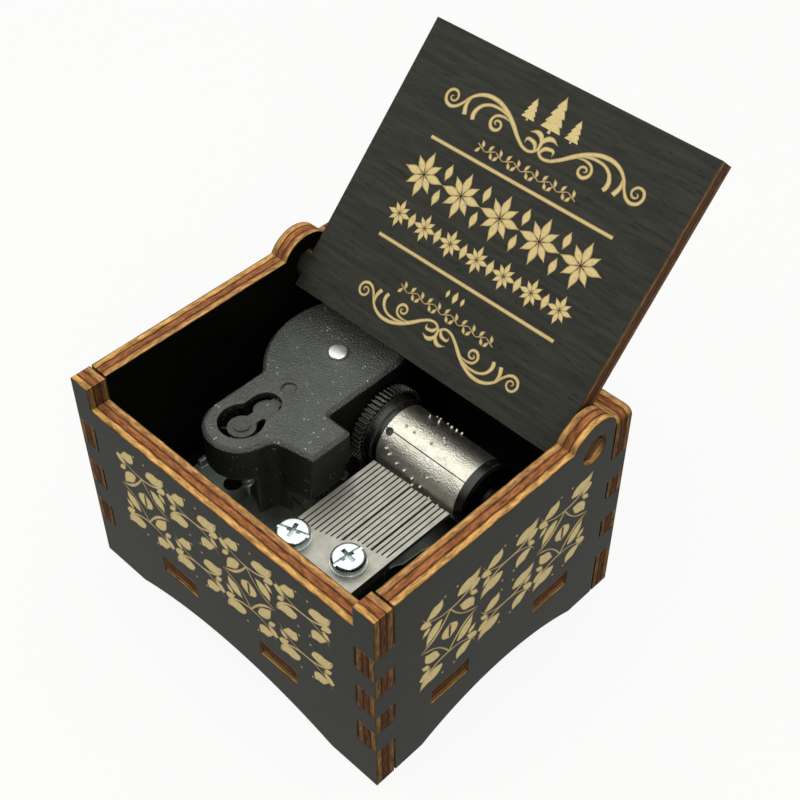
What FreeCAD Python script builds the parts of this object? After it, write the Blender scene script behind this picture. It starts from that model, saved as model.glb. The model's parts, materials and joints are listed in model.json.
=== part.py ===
"""A wind-up wooden music box: a finger-jointed plywood case with a swinging lid, and a spring movement.

Millimetres. X runs along the front panel, Y to the back, Z up. The origin is on the surface that the feet
stand on, under the middle of the box with its lid open. The lid is drawn open, leaning on the back panel,
and everything else is at rest. Each piece is drawn about the middle of the closed case, and they are all
moved to the origin together at the end. The case is sized around its movement, so a change in the movement
moves the walls.
"""

import FreeCAD
import Part
import math
import os

Vector = FreeCAD.Vector
X_AXIS = Vector(1, 0, 0)
Y_AXIS = Vector(0, 1, 0)
Z_AXIS = Vector(0, 0, 1)

# Drawing
past = 1.0                   # how far a cutter reaches past the surface that it leaves by
fine_count = 8               # flats in place of the round of a screw's shank, a pivot or another fine bar
hidden_count = 24            # the same for a large round that is closed in

# Plywood case
ply = 3.8                    # thickness of every plywood panel
floor_clearance = 9.5        # underside of the bottom panel above the surface that the feet stand on
left_gap = 1.7               # movement cover to the left wall
right_gap = 7.2              # bearing post to the right wall
front_gap = 4.85             # bed plate to the front panel
back_gap = 0.3               # movement cover to the back panel
headroom = 5.73              # movement cover to the closed lid
hinge_drop = 2.7             # hinge axis below the top edge of the walls
slot_extra = 0.35            # how much deeper than the ply a finger slot is cut, seen as a dark line
kerf = 0.05                  # play on each side of a finger or tab
finger_count = 3
finger_land = 4.5            # height of the front panel's own fingers, between the wall's fingers
post_land = 4.7              # extra height of the top post over the regular finger pitch
foot_length = 10.2           # flat length of each foot, at both ends of a wall
arch_rise = 3.9              # height of the arch between two feet
tab_width = 7.9              # tabs of the bottom panel, two to a wall
tab_offset = 12.1            # middle of a tab from the middle of its wall
tab_recess = 0.3             # end of a tab behind the outer face of the wall
mortise_play = 0.3           # play on each side of a tab along the wall
corner_round = 1.5           # top outer corners of the back panel

# Lid and hinge
ear_radius = 5.8
lid_front_setback = 0.9      # closed lid's front edge behind the front face
lid_side_gap = 1.15
lid_back_gap = 0.9           # closed lid's back edge to the back panel
hinge_inset = 5.2            # hinge axis in front of the back panel
hinge_play = 0.06            # corner of the trunnion to the wall of its round hole
trunnion_recess = 0.7        # end of a trunnion behind the outer face of its ear
lid_rest_gap = 0.03          # lid to the edge that it rests on, open or closed

# Bed plate
bed_thickness = 1.2
bed_left_reach = 11.6        # bed plate's left edge from the barrel's axis
waist = ((-0.4, -8.0), (-3.5, -5.9), (-2.8, -2.5), (-2.5, 1.9), (-2.0, 3.5))
waist_end = 4.6              # waist's back end, in front of the cylinder's axis
waist_lip = (0.3, 0.9)       # middle of the waist's last bend, from the comb's right edge and its back end
bed_hole_radius = 1.65
bed_hole_from_worm = (-3.8, -0.5)
bed_corner = 2.5
lug_size = (0.8, 1.6, 1.6)   # small upright lug at the plate's left edge
lug_inset = 0.5
lug_before_worm = 2.0
post_thickness = 1.5         # bearing post along the cylinder
post_width = 6.4
bed_margin = 0.3             # bed plate in front of the comb
screw_radius = 1.25
screw_head_radius = 2.5
screw_head_height = 1.3
screw_play = 0.05
screw_edge_margin = 1.2      # screw heads to the bed plate's edges
front_screw_inset = 4.0      # extra, from the comb's right edge

# Gear train
module = 0.3                 # cylinder gear, idler and pinion
worm_module = 0.366
cylinder_teeth = 50
crown_teeth = 75
idler_teeth = 27
pinion_teeth = 10
wheel_teeth = 26
gear_width = 1.9
idler_width = 1.6
wheel_width = 0.8
tooth_share = 0.40           # tooth thickness on the pitch line, as a part of the tooth pitch
crown_share = 0.33           # the same for the crown's teeth
worm_share = 0.34
addendum = 0.27
dedendum = 0.36
worm_pitch_radius = 0.9
worm_addendum = 0.28
worm_dedendum = 0.42
worm_turns = 6
worm_flats = 8               # flats in each turn of the worm's thread
worm_core_reach = 0.8        # core beyond each end of the thread
wheel_lift = 0.95            # governor wheel's pitch circle above the bed plate
wheel_post_gap = 2.2         # from the worm's axis to the wheel's left post
wheel_post_thickness = 1.0
wheel_post_margin = 1.4      # of the post round the wheel's pivot
wheel_hub = (1.3, 1.2)       # radius, and reach on each side of the wheel
flank_angle = 20             # of every gear tooth

# Spring barrel and winding arbor
crown_radius = 11.9
crown_face = 1.6             # radial length of the crown teeth
crown_flange = 0.5
crown_tooth_height = 0.6
tooth_rim = 0.1              # flange beyond the teeth's outer ends
flange_gap = 0.2             # crown flange above the bed plate
drum_radius = 7.9
drum_height = 13.0
drum_wall = 0.7
drum_floor = 0.8
arbor_radius = 1.7
arbor_pivot_radius = 1.0
arbor_core_radius = 2.6
arbor_neck_radius = 1.5
arbor_play = 0.05
arbor_clearance = 1.8        # between the arbor and its hole in the bottom panel
end_play = 0.2               # along an axle, between a turning piece and its neighbour
key_socket_depth = 5.0       # arbor's foot in the key
spring_turns = 3
spring_flats = 12            # in each turn of the mainspring
spring_thickness = 0.25
spring_gap = 0.3             # mainspring to the arbor and to the drum's cover
ratchet_radius = 3.6
ratchet_thickness = 1.0
ratchet_teeth = 12
ratchet_depth = 0.6
ratchet_rise = 0.92          # part of each tooth that rises
click_gap = 0.12             # click to the ratchet's tooth tips
click_thickness = 0.5
click_reach = (4.0, 3.6)     # click's post and its tip, along the leaf from the arbor
click_post_radius = 0.9

# Winding key
key_span = 18.0
key_height = 7.2
key_sheet = 1.4
key_hub_radius = 3.0
key_dip = (1.5, 1.2)         # half width and depth of the dip between the wings' lower edges
key_floor_gap = 0.9          # key above the surface that the box stands on
key_hole_radius = 1.9
key_case_gap = 0.9           # key hub below the bottom panel

# Cylinder
tube_radius = 6.18
tube_length = 17.8
tube_wall = 0.45
collar_radius = 6.6
collar_length = 2.7
collar_step = 1.1            # narrow ring between the collar and the tube
plug_reach = 2.0             # collar and end cap into the tube
cap_length = 2.0
cap_radius = 6.3
cap_bevel = 0.4
gear_barrel_gap = 1.4        # cylinder gear to the movement cover's flat side
pin_width = 0.3
pin_height = 0.5
run_notes = 10               # pins of the run on the far side of the cylinder
run_sweep = (186, 206)       # where the run starts, and how far round it goes, in degrees
run_waves = (3, 7)           # slow and quick swings of the run to and fro along the cylinder
run_quick = 0.6              # height of the quick swings against the slow ones
notch_radius = 0.75
notch_depth = 2.0
seam_angle = 125.0           # seam of the tube, from +Y towards +Z
shaft_radius = 1.0
shaft_play = 0.05
notes = ((2, 106), (4, 107), (8, 106), (10, 95), (9, 86), (3, 61), (5, 59), (7, 47), (8, 44), (9, 41),
         (11, 153), (13, 147), (2, 159), (4, 165), (1, 153), (6, 167), (8, 171), (10, 176))
bush_radius = 2.3
bush_neck_radius = 1.7       # where the bush passes through the bearing post
bush_length = 2.0
bush_gap = 0.2               # end cap to the bearing bush
shaft_inset = 0.4            # shaft's end inside the bearing post

# Comb
tooth_count = 18
tooth_pitch = 0.95
slot_width = 0.26
wide_slot = 0.42
wide_slot_after = (9, 14)    # teeth with a wide slot to their right
comb_gap = 0.12              # tooth tips to the circle that the pins sweep
bass_length = 17.6           # longest tooth, at the left
shortening = ((0, 0), (4, 0), (8.5, 1.4), (10, 3.1), (13.3, 3.3), (17.1, 4.2))   # of teeth, along the comb
group_slant = 0.35           # how much the tips of a group run towards the cylinder
tooth_thickness = 0.9
comb_base_thickness = 2.0
comb_base_depth = 7.5
comb_base_inset = 0.6        # thick base behind the tooth roots
seat_inset = (0.5, 1.0)      # comb's seat behind the comb's right edge, and behind the tooth roots
comb_inset = 0.5             # comb's left edge, right of the tube's left end
weight_count = 6
weight_size = (2.4, 1.9)     # length, and depth of the deepest
weight_step = 0.2            # each one is less deep by this
weight_from_tip = 1.2
weight_side_gap = 0.05
damper_count = 5
damper_size = (0.3, 1.6)     # thickness and length
damper_from_tip = 0.7
comb_screw_left = (2.7, 3.8)     # from the comb's left edge, and from its front edge
comb_screw_right = (12.7, 6.4)
comb_screw_radius = 3.05
comb_screw_height = 1.5
comb_screw_length = 5.5
cross_recess = (3.0, 0.6, 0.9)   # length, width and depth
washer_thickness = 0.6
washer_margin = 0.1          # washer round the screw's head

# Movement cover
cover_height = 18.17         # top of the cover above the bed plate
cover_wall = 0.9
cover_top = 1.3
cover_round = 0.7
lobe_reach_left = 12.9       # barrel lobe's reach from the barrel's axis
lobe_reach_back = 12.06
lobe_foot = 1.8              # lower edge of the barrel lobe above the bed plate
flat_side = 9.1              # flat right side from the barrel's axis
governor_lobe_radius = 6.5
governor_lobe_depth = 7.3
governor_from_barrel = (0.1, -22.24)
block_reach = 5.6            # block's right face beyond the flat side
block_back = 11.2            # block's back and front faces, in front of the barrel's axis
block_front = 19.75
block_depth = 11.2           # how far the block comes down from the top
block_lean = 1.1             # how far its right face leans in on the way down
gear_window = 3.2            # opening in its back face over the idler
lobe_edge_back = 17.4        # back end of the governor lobe's raised edge, in front of the barrel's axis
lobe_edge_inset = 0.6        # its right end, inside the governor lobe
block_front_angle = 7.5      # where the block's front meets the governor lobe, round the worm from +X
lobe_side_radius = 16.7      # curve of the barrel lobe's left side
lobe_side_middle = 1.6       # its leftmost point, behind the barrel's axis
lobe_corner = 7.5            # back right corner
soft_corners = (2.0, 1.5, 2.2, 0.8)   # back left, neck to lobe, lobe to block, and the block's own
leg_radius = 0.9
back_leg = (-9.5, 9.0)       # from the barrel's axis
left_leg_back = 16.2         # in front of the barrel's axis
right_leg_back = 10.4
recess_depth = 0.5           # round recess in the cover's top, behind the keyhole
recess_radius = 1.35
recess_back = 11.6           # in front of the barrel's axis
keyhole_radius = 4.0
keyhole_neck = 2.75
keyhole_length = 5.4
arm_ring_radius = 2.45
arm_boss_radius = 1.4
arm_boss_rise = 0.45
arm_neck = 2.2
arm_thickness = 0.8
arm_back = 10.6              # its back end, in front of the barrel's axis
rivet_radius = 1.85
rivet_rise = 0.6
rivet_bevel = 0.42
pivot_play = 0.05            # at the ends of upright pivots

# Governor
fan_radius = 4.3
fan_height = 3.4
fan_sheet = 0.5
fan_hub_radius = 1.2
fan_corner = 0.8
fan_turn = 30
fan_gap = 0.35               # fan below the top bearing arm
worm_shaft_radius = 0.45
worm_end_radius = 0.3
worm_foot_depth = 0.4        # lower pivot's hole starts this far up in the bed plate
bracket_thickness = 0.8
bracket_margin = 1.8
bracket_foot = 3.0
bracket_gap = 0.5            # bracket to the gears
web_gap = 1.4                # bracket's front web above the bed plate
web_low = 1.8                # height of its low end
web_reach = 8.2              # its length to the left of the bracket
web_tall = 2.4               # length of its tall end
web_step = (0.6, 2.2)        # step from there, along and down
idler_pin_head = 0.3

# Heights that follow
bottom_z = floor_clearance
case_floor_z = bottom_z + ply
bed_z = case_floor_z + bed_thickness
flange_z = bed_z + flange_gap
crown_z = flange_z + crown_flange
drum_top_z = flange_z + drum_height
ratchet_z = drum_top_z + end_play
cylinder_pitch_radius = module * cylinder_teeth / 2
axis_z = crown_z + dedendum + cylinder_pitch_radius
cover_z = bed_z + cover_height
cover_under_z = cover_z - cover_top
key_top_z = bottom_z - key_case_gap
closed_lid_z = cover_z + headroom
hinge_z = closed_lid_z + ply / 2
wall_height = hinge_z + hinge_drop
front_edge_z = closed_lid_z - lid_rest_gap
finger_pitch = (wall_height - floor_clearance - post_land) / finger_count
finger_height = finger_pitch - finger_land
finger_starts = [floor_clearance + n * finger_pitch for n in range(finger_count)]

# Lengths along X from the barrel's axis to the bearing post
gear_left = flat_side + gear_barrel_gap
gear_right = gear_left + gear_width
tube_left = gear_right + collar_length
tube_right = tube_left + tube_length
cap_right = tube_right + cap_length
post_left = cap_right + bush_gap + bush_length
post_right = post_left + post_thickness

# Lengths along Y from the cylinder's axis to the bed plate's front edge
pin_sweep = tube_radius + pin_height
tip_reach = pin_sweep + comb_gap
comb_front = tip_reach + bass_length + comb_base_depth
bed_front = comb_front + bed_margin

# Case sizes that follow from the movement
inner_width = left_gap + lobe_reach_left + post_right + right_gap
inner_depth = back_gap + lobe_reach_back + bed_front + front_gap
box_width = inner_width + 2 * ply
box_depth = inner_depth + 2 * ply
half_width = box_width / 2
half_depth = box_depth / 2
slot_depth = ply + slot_extra

# Places of the axes
barrel_x = -inner_width / 2 + left_gap + lobe_reach_left
cylinder_y = inner_depth / 2 - back_gap - lobe_reach_back
bed_left_x = barrel_x - bed_left_reach
bed_right_x = barrel_x + post_right
bed_front_y = cylinder_y - bed_front
bed_back_y = cylinder_y + crown_radius - back_gap
worm_x = barrel_x + governor_from_barrel[0]
worm_y = cylinder_y + governor_from_barrel[1]
hinge_y = inner_depth / 2 - hinge_inset
comb_left_x = barrel_x + tube_left + comb_inset
comb_front_y = cylinder_y - comb_front


def box(x0, x1, y0, y1, z0, z1):
    """A block between two corners."""
    return Part.makeBox(x1 - x0, y1 - y0, z1 - z0, Vector(x0, y0, z0))


def rod_x(x0, x1, y, z, radius):
    """A round bar along X."""
    return Part.makeCylinder(radius, x1 - x0, Vector(x0, y, z), X_AXIS)


def rod_z(x, y, z0, z1, radius):
    """A round bar along Z."""
    return Part.makeCylinder(radius, z1 - z0, Vector(x, y, z0), Z_AXIS)


def corner_turns(flats):
    """Directions from a flat-sided bar's axis to its corners."""
    return [2 * math.pi * n / flats for n in range(flats)]


def bar_x(x0, x1, y, z, radius, flats=fine_count):
    """A bar along X with flats in place of its round, and its corners on the radius."""
    points = [(x0, y + radius * math.cos(a), z + radius * math.sin(a)) for a in corner_turns(flats)]
    return extrude(points, Vector(x1 - x0, 0, 0))


def bar_z(x, y, z0, z1, radius, flats=fine_count):
    """A bar along Z with flats in place of its round, and its corners on the radius."""
    points = [(x + radius * math.cos(a), y + radius * math.sin(a), z0) for a in corner_turns(flats)]
    return extrude(points, Vector(0, 0, z1 - z0))


def around(radius, flats=fine_count):
    """Corner radius of a flat-sided hole in which something of the given radius turns."""
    return radius / math.cos(math.pi / flats)


def bevelled_disc(x, y, z0, z1, radius, bevel):
    """An upright round disc with its upper rim bevelled."""
    body = rod_z(x, y, z0, z1 - bevel, radius)
    return fused([body, Part.makeCone(radius, radius - bevel, bevel, Vector(x, y, z1 - bevel), Z_AXIS)])


def extrude(points, direction):
    """A prism over a closed polygon of points."""
    wire = Part.makePolygon([Vector(*p) for p in points] + [Vector(*points[0])])
    return Part.Face(wire).extrude(direction)


def flat_face(corners):
    """A flat face over a closed polygon of vectors."""
    return Part.Face(Part.makePolygon(list(corners) + [corners[0]]))


def arc(start, middle, end):
    """An arc edge through three points."""
    return Part.Arc(Vector(*start), Vector(*middle), Vector(*end)).toShape()


def line(start, end):
    """A straight edge."""
    return Part.LineSegment(Vector(*start), Vector(*end)).toShape()


def fused(shapes):
    """One solid from several that meet, without the seams between them."""
    return shapes[0].multiFuse(shapes[1:]).removeSplitter()


def cut_all(shape, tools):
    """A shape less each of the tools."""
    for tool in tools:
        shape = shape.cut(tool)
    return shape


def arched_panel(half_length, top_z):
    """A wall in its own plane: flat feet at both ends, a shallow arch between, and a straight top."""
    arch = half_length - foot_length
    corners = [(half_length, 0, 0), (half_length, 0, top_z), (-half_length, 0, top_z), (-half_length, 0, 0)]
    edges = [line(a, b) for a, b in zip(corners, corners[1:])]
    edges.append(line(corners[3], (-arch, 0, 0)))
    edges.append(arc((-arch, 0, 0), (0, 0, arch_rise), (arch, 0, 0)))
    edges.append(line((arch, 0, 0), corners[0]))
    return Part.Face(Part.Wire(edges)).extrude(Vector(0, ply, 0))


def mortises(sign):
    """Two slots for the bottom panel's tabs, through a panel that lies between y = 0 and y = ply."""
    half = tab_width / 2 + mortise_play
    slots = []
    for side in (-1, 1):
        middle = side * tab_offset * sign
        slots.append(box(middle - half, middle + half, -past, ply + past, bottom_z, case_floor_z + 2 * kerf))
    return slots


def end_panel(top_z):
    """A front or back panel, standing between y = 0 and y = ply, with slots for the walls' fingers."""
    panel = arched_panel(half_width, top_z)
    slots = mortises(1)
    inner = half_width - slot_depth
    outer = half_width + past
    for start in finger_starts:
        for x0, x1 in ((-outer, -inner), (inner, outer)):
            slots.append(box(x0, x1, -past, ply + past, start, start + finger_height + 2 * kerf))
    return cut_all(panel, slots)


def front_panel():
    """The front panel, cut down between its corner posts to carry the closed lid's front edge."""
    panel = end_panel(wall_height)
    inner = half_width - slot_depth
    step = box(-inner, inner, -past, ply + past, front_edge_z, wall_height + past)
    return panel.cut(step).translated(Vector(0, -half_depth, 0))


def back_panel():
    """The back panel, with rounded top corners. The open lid leans on its top edge."""
    panel = end_panel(wall_height)
    corners = [edge for edge in panel.Edges
               if abs(edge.CenterOfMass.z - wall_height) < 1e-6
               and abs(abs(edge.CenterOfMass.x) - half_width) < 1e-6]
    panel = panel.makeFillet(corner_round, corners)
    return panel.translated(Vector(0, half_depth - ply, 0))


def side_wall(sign):
    """A side wall with fingers at both ends and the half-round hinge ear that carries the lid."""
    long_panel = arched_panel(half_depth, wall_height)
    tools = mortises(1)
    body_end = half_depth - slot_depth
    edges = [0.0]
    for start in finger_starts:
        edges += [start, start + finger_height]
    edges.append(wall_height + past)
    for z0, z1 in zip(edges[::2], edges[1::2]):
        low = z0 if z0 else -past
        tools.append(box(-half_depth - past, -body_end, -past, ply + past, low, z1))
        tools.append(box(body_end, half_depth + past, -past, ply + past, low, z1))
    wall = cut_all(long_panel, tools)
    wall.rotate(Vector(0, 0, 0), Z_AXIS, 90)
    wall.translate(Vector(ply, 0, 0))
    ear = rod_x(0, ply, hinge_y, hinge_z, ear_radius)
    ear = ear.cut(box(-past, ply + past, body_end, half_depth, 0, wall_height + ear_radius))
    hole = rod_x(-past, ply + past, hinge_y, hinge_z, ply / math.sqrt(2) + hinge_play)
    wall = fused([wall, ear]).cut(hole)
    return wall.translated(Vector(half_width - ply if sign > 0 else -half_width, 0, 0))


def bottom_panel():
    """The raised bottom, with two tabs into each wall and holes for the arbor and the movement's screws."""
    half_x = inner_width / 2 - kerf
    half_y = inner_depth / 2 - kerf
    pieces = [box(-half_x, half_x, -half_y, half_y, bottom_z, case_floor_z)]
    for side in (-1, 1):
        middle = side * tab_offset
        x0, x1 = middle - tab_width / 2, middle + tab_width / 2
        pieces.append(box(x0, x1, tab_recess - half_depth, half_depth - tab_recess, bottom_z, case_floor_z))
        pieces.append(box(tab_recess - half_width, half_width - tab_recess, x0, x1, bottom_z, case_floor_z))
    panel = fused(pieces)
    low, high = bottom_z - past, case_floor_z + past
    holes = [rod_z(barrel_x, cylinder_y, low, high, arbor_radius + arbor_clearance)]
    holes += [bar_z(x, y, low, high, screw_radius + screw_play) for x, y in screw_places()]
    return cut_all(panel, holes)


def lid():
    """The lid with its two square trunnions, turned open until it leans on the back panel's top edge."""
    half = inner_width / 2 - lid_side_gap
    front = lid_front_setback - half_depth
    back = inner_depth / 2 - lid_back_gap
    z0, z1 = hinge_z - ply / 2, hinge_z + ply / 2
    pin_end = half_width - trunnion_recess
    panel = box(-half, half, front, back, z0, z1)
    trunnions = box(-pin_end, pin_end, hinge_y - ply / 2, hinge_y + ply / 2, z0, z1)
    whole = fused([panel, trunnions])
    whole.rotate(Vector(0, hinge_y, hinge_z), X_AXIS, -open_angle())
    return whole


def open_angle():
    """How far the lid swings from closed until its outer face meets the back panel's top inner edge."""
    reach = math.hypot(hinge_inset, hinge_drop)
    lean = math.atan2(hinge_drop, hinge_inset) + math.asin((ply / 2 + lid_rest_gap) / reach)
    return 180 - math.degrees(lean)


def screw_places():
    """The movement's three mounting screws. The first goes into a leg of the cover."""
    inset = screw_head_radius + screw_edge_margin
    return [leg_places()[0],
            (bed_right_x - inset, bed_back_y - inset),
            (comb_right_x() - inset - front_screw_inset, bed_front_y + inset)]


def leg_places():
    """The movement cover's three legs, outside the sweep of the barrel's crown."""
    return [(barrel_x + back_leg[0], cylinder_y + back_leg[1]),
            (worm_x - governor_lobe_radius + leg_radius, cylinder_y - left_leg_back),
            (barrel_x + flat_side - leg_radius, cylinder_y - right_leg_back)]


def bed_outline():
    """The bed plate's outline: rounded corners, and a curved waist at the right between seat and post."""
    left, right, front, back = bed_left_x, bed_right_x, bed_front_y, bed_back_y
    seat_x = comb_right_x()
    r = bed_corner
    d = r * (1 - math.sqrt(0.5))
    z = case_floor_z
    seat, hollow, bend, neck, lip = [(seat_x + x, y, z) for x, y in waist]
    waist_top = cylinder_y - waist_end
    shoulder = (seat_x + waist_lip[0], waist_top - waist_lip[1], z)
    return Part.Wire([
        arc((left, front + r, z), (left + d, front + d, z), (left + r, front, z)),
        line((left + r, front, z), (seat[0], front, z)),
        line((seat[0], front, z), seat),
        arc(seat, hollow, bend),
        line(bend, neck),
        line(neck, lip),
        arc(lip, shoulder, (right, waist_top, z)),
        line((right, waist_top, z), (right, back - r, z)),
        arc((right, back - r, z), (right - d, back - d, z), (right - r, back, z)),
        line((right - r, back, z), (left + r, back, z)),
        arc((left + r, back, z), (left + d, back - d, z), (left, back - r, z)),
        line((left, back - r, z), (left, front + r, z))])


def comb_right_x():
    """Right edge of the comb."""
    return comb_left_x + tooth_count * tooth_pitch


def comb_screw_places():
    """The two screws through the comb's base, on the slant of the tooth roots."""
    return [(comb_left_x + x, comb_front_y + y) for x, y in (comb_screw_left, comb_screw_right)]


def root_y(x):
    """Where the teeth leave the comb's base, further back towards the treble end."""
    along = x - comb_left_x
    for (x0, less0), (x1, less1) in zip(shortening, shortening[1:]):
        if along <= x1 + 1e-6:
            break
    less = less0 + (less1 - less0) * (along - x0) / (x1 - x0)
    return comb_front_y + comb_base_depth + less


def slant(right_x, inset):
    """The slanting line behind the tooth roots, from a right edge to the comb's left edge, less an inset."""
    places = [right_x] + [comb_left_x + along for along, less in reversed(shortening[:-1])]
    return [(x, root_y(x) - inset) for x in places]


def comb_seat():
    """The comb's seat on the bed plate, a little smaller than the comb's base."""
    right = comb_right_x() - seat_inset[0]
    outline = [(comb_left_x, comb_front_y), (right, comb_front_y)] + slant(right, seat_inset[1])
    height = axis_z - comb_base_thickness - case_floor_z
    return extrude([(x, y, case_floor_z) for x, y in outline], Vector(0, 0, height))


def bed_plate():
    """The cast bed plate with the comb's seat, the cylinder's bearing post and the governor wheel's post."""
    plate = Part.Face(bed_outline()).extrude(Vector(0, 0, bed_thickness))
    post_x = barrel_x + post_left
    half = post_width / 2
    post = box(post_x, bed_right_x, cylinder_y - half, cylinder_y + half, case_floor_z, axis_z)
    crown = rod_x(post_x, bed_right_x, cylinder_y, axis_z, half)
    wheel_y, wheel_z = wheel_centre()
    rear_x = worm_x - wheel_post_gap
    margin = wheel_post_margin
    rear = box(rear_x - wheel_post_thickness, rear_x, wheel_y - margin, wheel_y + margin,
               case_floor_z, wheel_z + margin)
    lug_x, lug_y = bed_left_x + lug_inset, worm_y - lug_before_worm
    lug = box(lug_x, lug_x + lug_size[0], lug_y, lug_y + lug_size[1], case_floor_z, bed_z + lug_size[2])
    bed = fused([plate, comb_seat(), post, crown, rear, lug])
    hole_x, hole_y = worm_x + bed_hole_from_worm[0], worm_y + bed_hole_from_worm[1]
    high = bed_z + past
    holes = [
        rod_x(post_x - past, bed_right_x + past, cylinder_y, axis_z, bush_neck_radius),
        bar_z(barrel_x, cylinder_y, bottom_z, high, around(arbor_radius + arbor_play)),
        rod_z(hole_x, hole_y, bottom_z, high, bed_hole_radius),
        bar_z(worm_x, worm_y, case_floor_z + worm_foot_depth, high, around(worm_end_radius + shaft_play)),
        bar_x(rear_x - wheel_post_thickness - past, rear_x + past, wheel_y, wheel_z,
              around(worm_shaft_radius + shaft_play))]
    holes += [bar_z(x, y, bottom_z, high, screw_radius) for x, y in screw_places()]
    holes += [bar_z(x, y, axis_z + washer_thickness - comb_screw_length, axis_z, screw_radius)
              for x, y in comb_screw_places()]
    return cut_all(bed, holes)


def movement_screws():
    """Three flat-headed screws up through the bottom panel into the bed plate."""
    screws = []
    for x, y in screw_places():
        head = rod_z(x, y, bottom_z - screw_head_height, bottom_z, screw_head_radius)
        screws.append(fused([head, bar_z(x, y, bottom_z - screw_head_height / 2, bed_z, screw_radius)]))
    return Part.makeCompound(screws)


def toothed_disc(teeth, tooth_module, width, share, tip, root, turn):
    """A spur gear about X from x = 0, with straight flanks. One tooth points turn degrees from +Y."""
    pitch_radius = tooth_module * teeth / 2
    step = 2 * math.pi / teeth
    half = share * step / 2
    slope = math.tan(math.radians(flank_angle))
    tip_half = half - slope * tip / pitch_radius
    root_half = half + slope * root / pitch_radius
    points = []
    for n in range(teeth):
        middle = math.radians(turn) + n * step
        for angle, radius in ((-root_half, -root), (-tip_half, tip), (tip_half, tip), (root_half, -root)):
            a = middle + angle
            points.append((0, (pitch_radius + radius) * math.cos(a), (pitch_radius + radius) * math.sin(a)))
    return extrude(points, Vector(width, 0, 0))


def angle_towards(origin, target):
    """Direction in the YZ plane from one axis to another, in degrees from +Y."""
    return math.degrees(math.atan2(target[1] - origin[1], target[0] - origin[0]))


def wheel_centre():
    """The governor wheel's axis: behind the worm by both pitch radii."""
    reach = worm_pitch_radius + worm_module * wheel_teeth / 2
    return worm_y + reach, bed_z + worm_module * wheel_teeth / 2 + wheel_lift


def idler_centre():
    """The idler's axis: in mesh with the cylinder gear and with the pinion, below the line between them."""
    near = module * (cylinder_teeth + idler_teeth) / 2
    far = module * (idler_teeth + pinion_teeth) / 2
    wheel_y, wheel_z = wheel_centre()
    dy, dz = wheel_y - cylinder_y, wheel_z - axis_z
    distance = math.hypot(dy, dz)
    along = (near ** 2 - far ** 2 + distance ** 2) / (2 * distance)
    aside = math.sqrt(near ** 2 - along ** 2)
    uy, uz = dy / distance, dz / distance
    return cylinder_y + along * uy - aside * uz, axis_z + along * uz + aside * uy


def mesh_turn(first_turn, first_teeth, first, second, second_teeth):
    """Tooth angle of a second gear whose gap meets the first gear's tooth on the line between their axes."""
    line_angle = angle_towards(first, second)
    back_angle = line_angle + 180
    past = ((line_angle - first_turn) / (360 / first_teeth)) % 1
    return back_angle + (past + 0.5) * 360 / second_teeth


def cylinder_gear():
    """The black gear and collar at the cylinder's left end. A crown tooth meets its lowest gap."""
    x0 = barrel_x + gear_left
    x1 = barrel_x + gear_right
    x2 = barrel_x + tube_left
    gear = toothed_disc(cylinder_teeth, module, gear_width, tooth_share, addendum, dedendum, gear_turn())
    gear.translate(Vector(x0, cylinder_y, axis_z))
    collar = rod_x(x1, x2 - collar_step, cylinder_y, axis_z, collar_radius)
    ring = rod_x(x1, x2, cylinder_y, axis_z, tube_radius)
    plug = bar_x(x1, x2 + plug_reach, cylinder_y, axis_z, tube_radius - tube_wall, hidden_count)
    bore = bar_x(x0 - past, x2 + plug_reach + past, cylinder_y, axis_z, shaft_radius)
    return fused([gear, collar, ring, plug]).cut(bore)


def gear_turn():
    """Tooth angle of the cylinder gear, with a gap straight down over a crown tooth."""
    return -90 + 180 / cylinder_teeth


def idler_turn():
    """Tooth angle of the idler, in mesh with the cylinder gear."""
    return mesh_turn(gear_turn(), cylinder_teeth, (cylinder_y, axis_z), idler_centre(), idler_teeth)


def pinion_turn():
    """Tooth angle of the pinion, in mesh with the idler."""
    return mesh_turn(idler_turn(), idler_teeth, idler_centre(), wheel_centre(), pinion_teeth)


def end_cap():
    """The black disc with a bevelled rim that closes the cylinder's right end."""
    x0 = barrel_x + tube_right
    x1 = x0 + cap_length
    disc = rod_x(x0, x1 - cap_bevel, cylinder_y, axis_z, cap_radius)
    centre = Vector(x1 - cap_bevel, cylinder_y, axis_z)
    rim = Part.makeCone(cap_radius, cap_radius - cap_bevel, cap_bevel, centre, X_AXIS)
    plug = bar_x(x0 - plug_reach, x0 + cap_bevel, cylinder_y, axis_z, tube_radius - tube_wall, hidden_count)
    bore = bar_x(x0 - plug_reach - past, x1 + past, cylinder_y, axis_z, shaft_radius)
    return fused([disc, rim, plug]).cut(bore)


def pin_places():
    """Tooth and angle of each pin: the notes near the comb, and a swinging run on the far side."""
    places = list(notes)
    first, sweep = run_sweep
    for n in range(run_notes):
        part = n / run_notes
        slow, quick = [math.sin(2 * math.pi * waves * part) for waves in run_waves]
        swing = (slow + run_quick * quick) / (1 + run_quick)
        tooth = round((tooth_count - 1) * (1 + swing) / 2)
        places.append((tooth, first + sweep * part))
    return places


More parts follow.
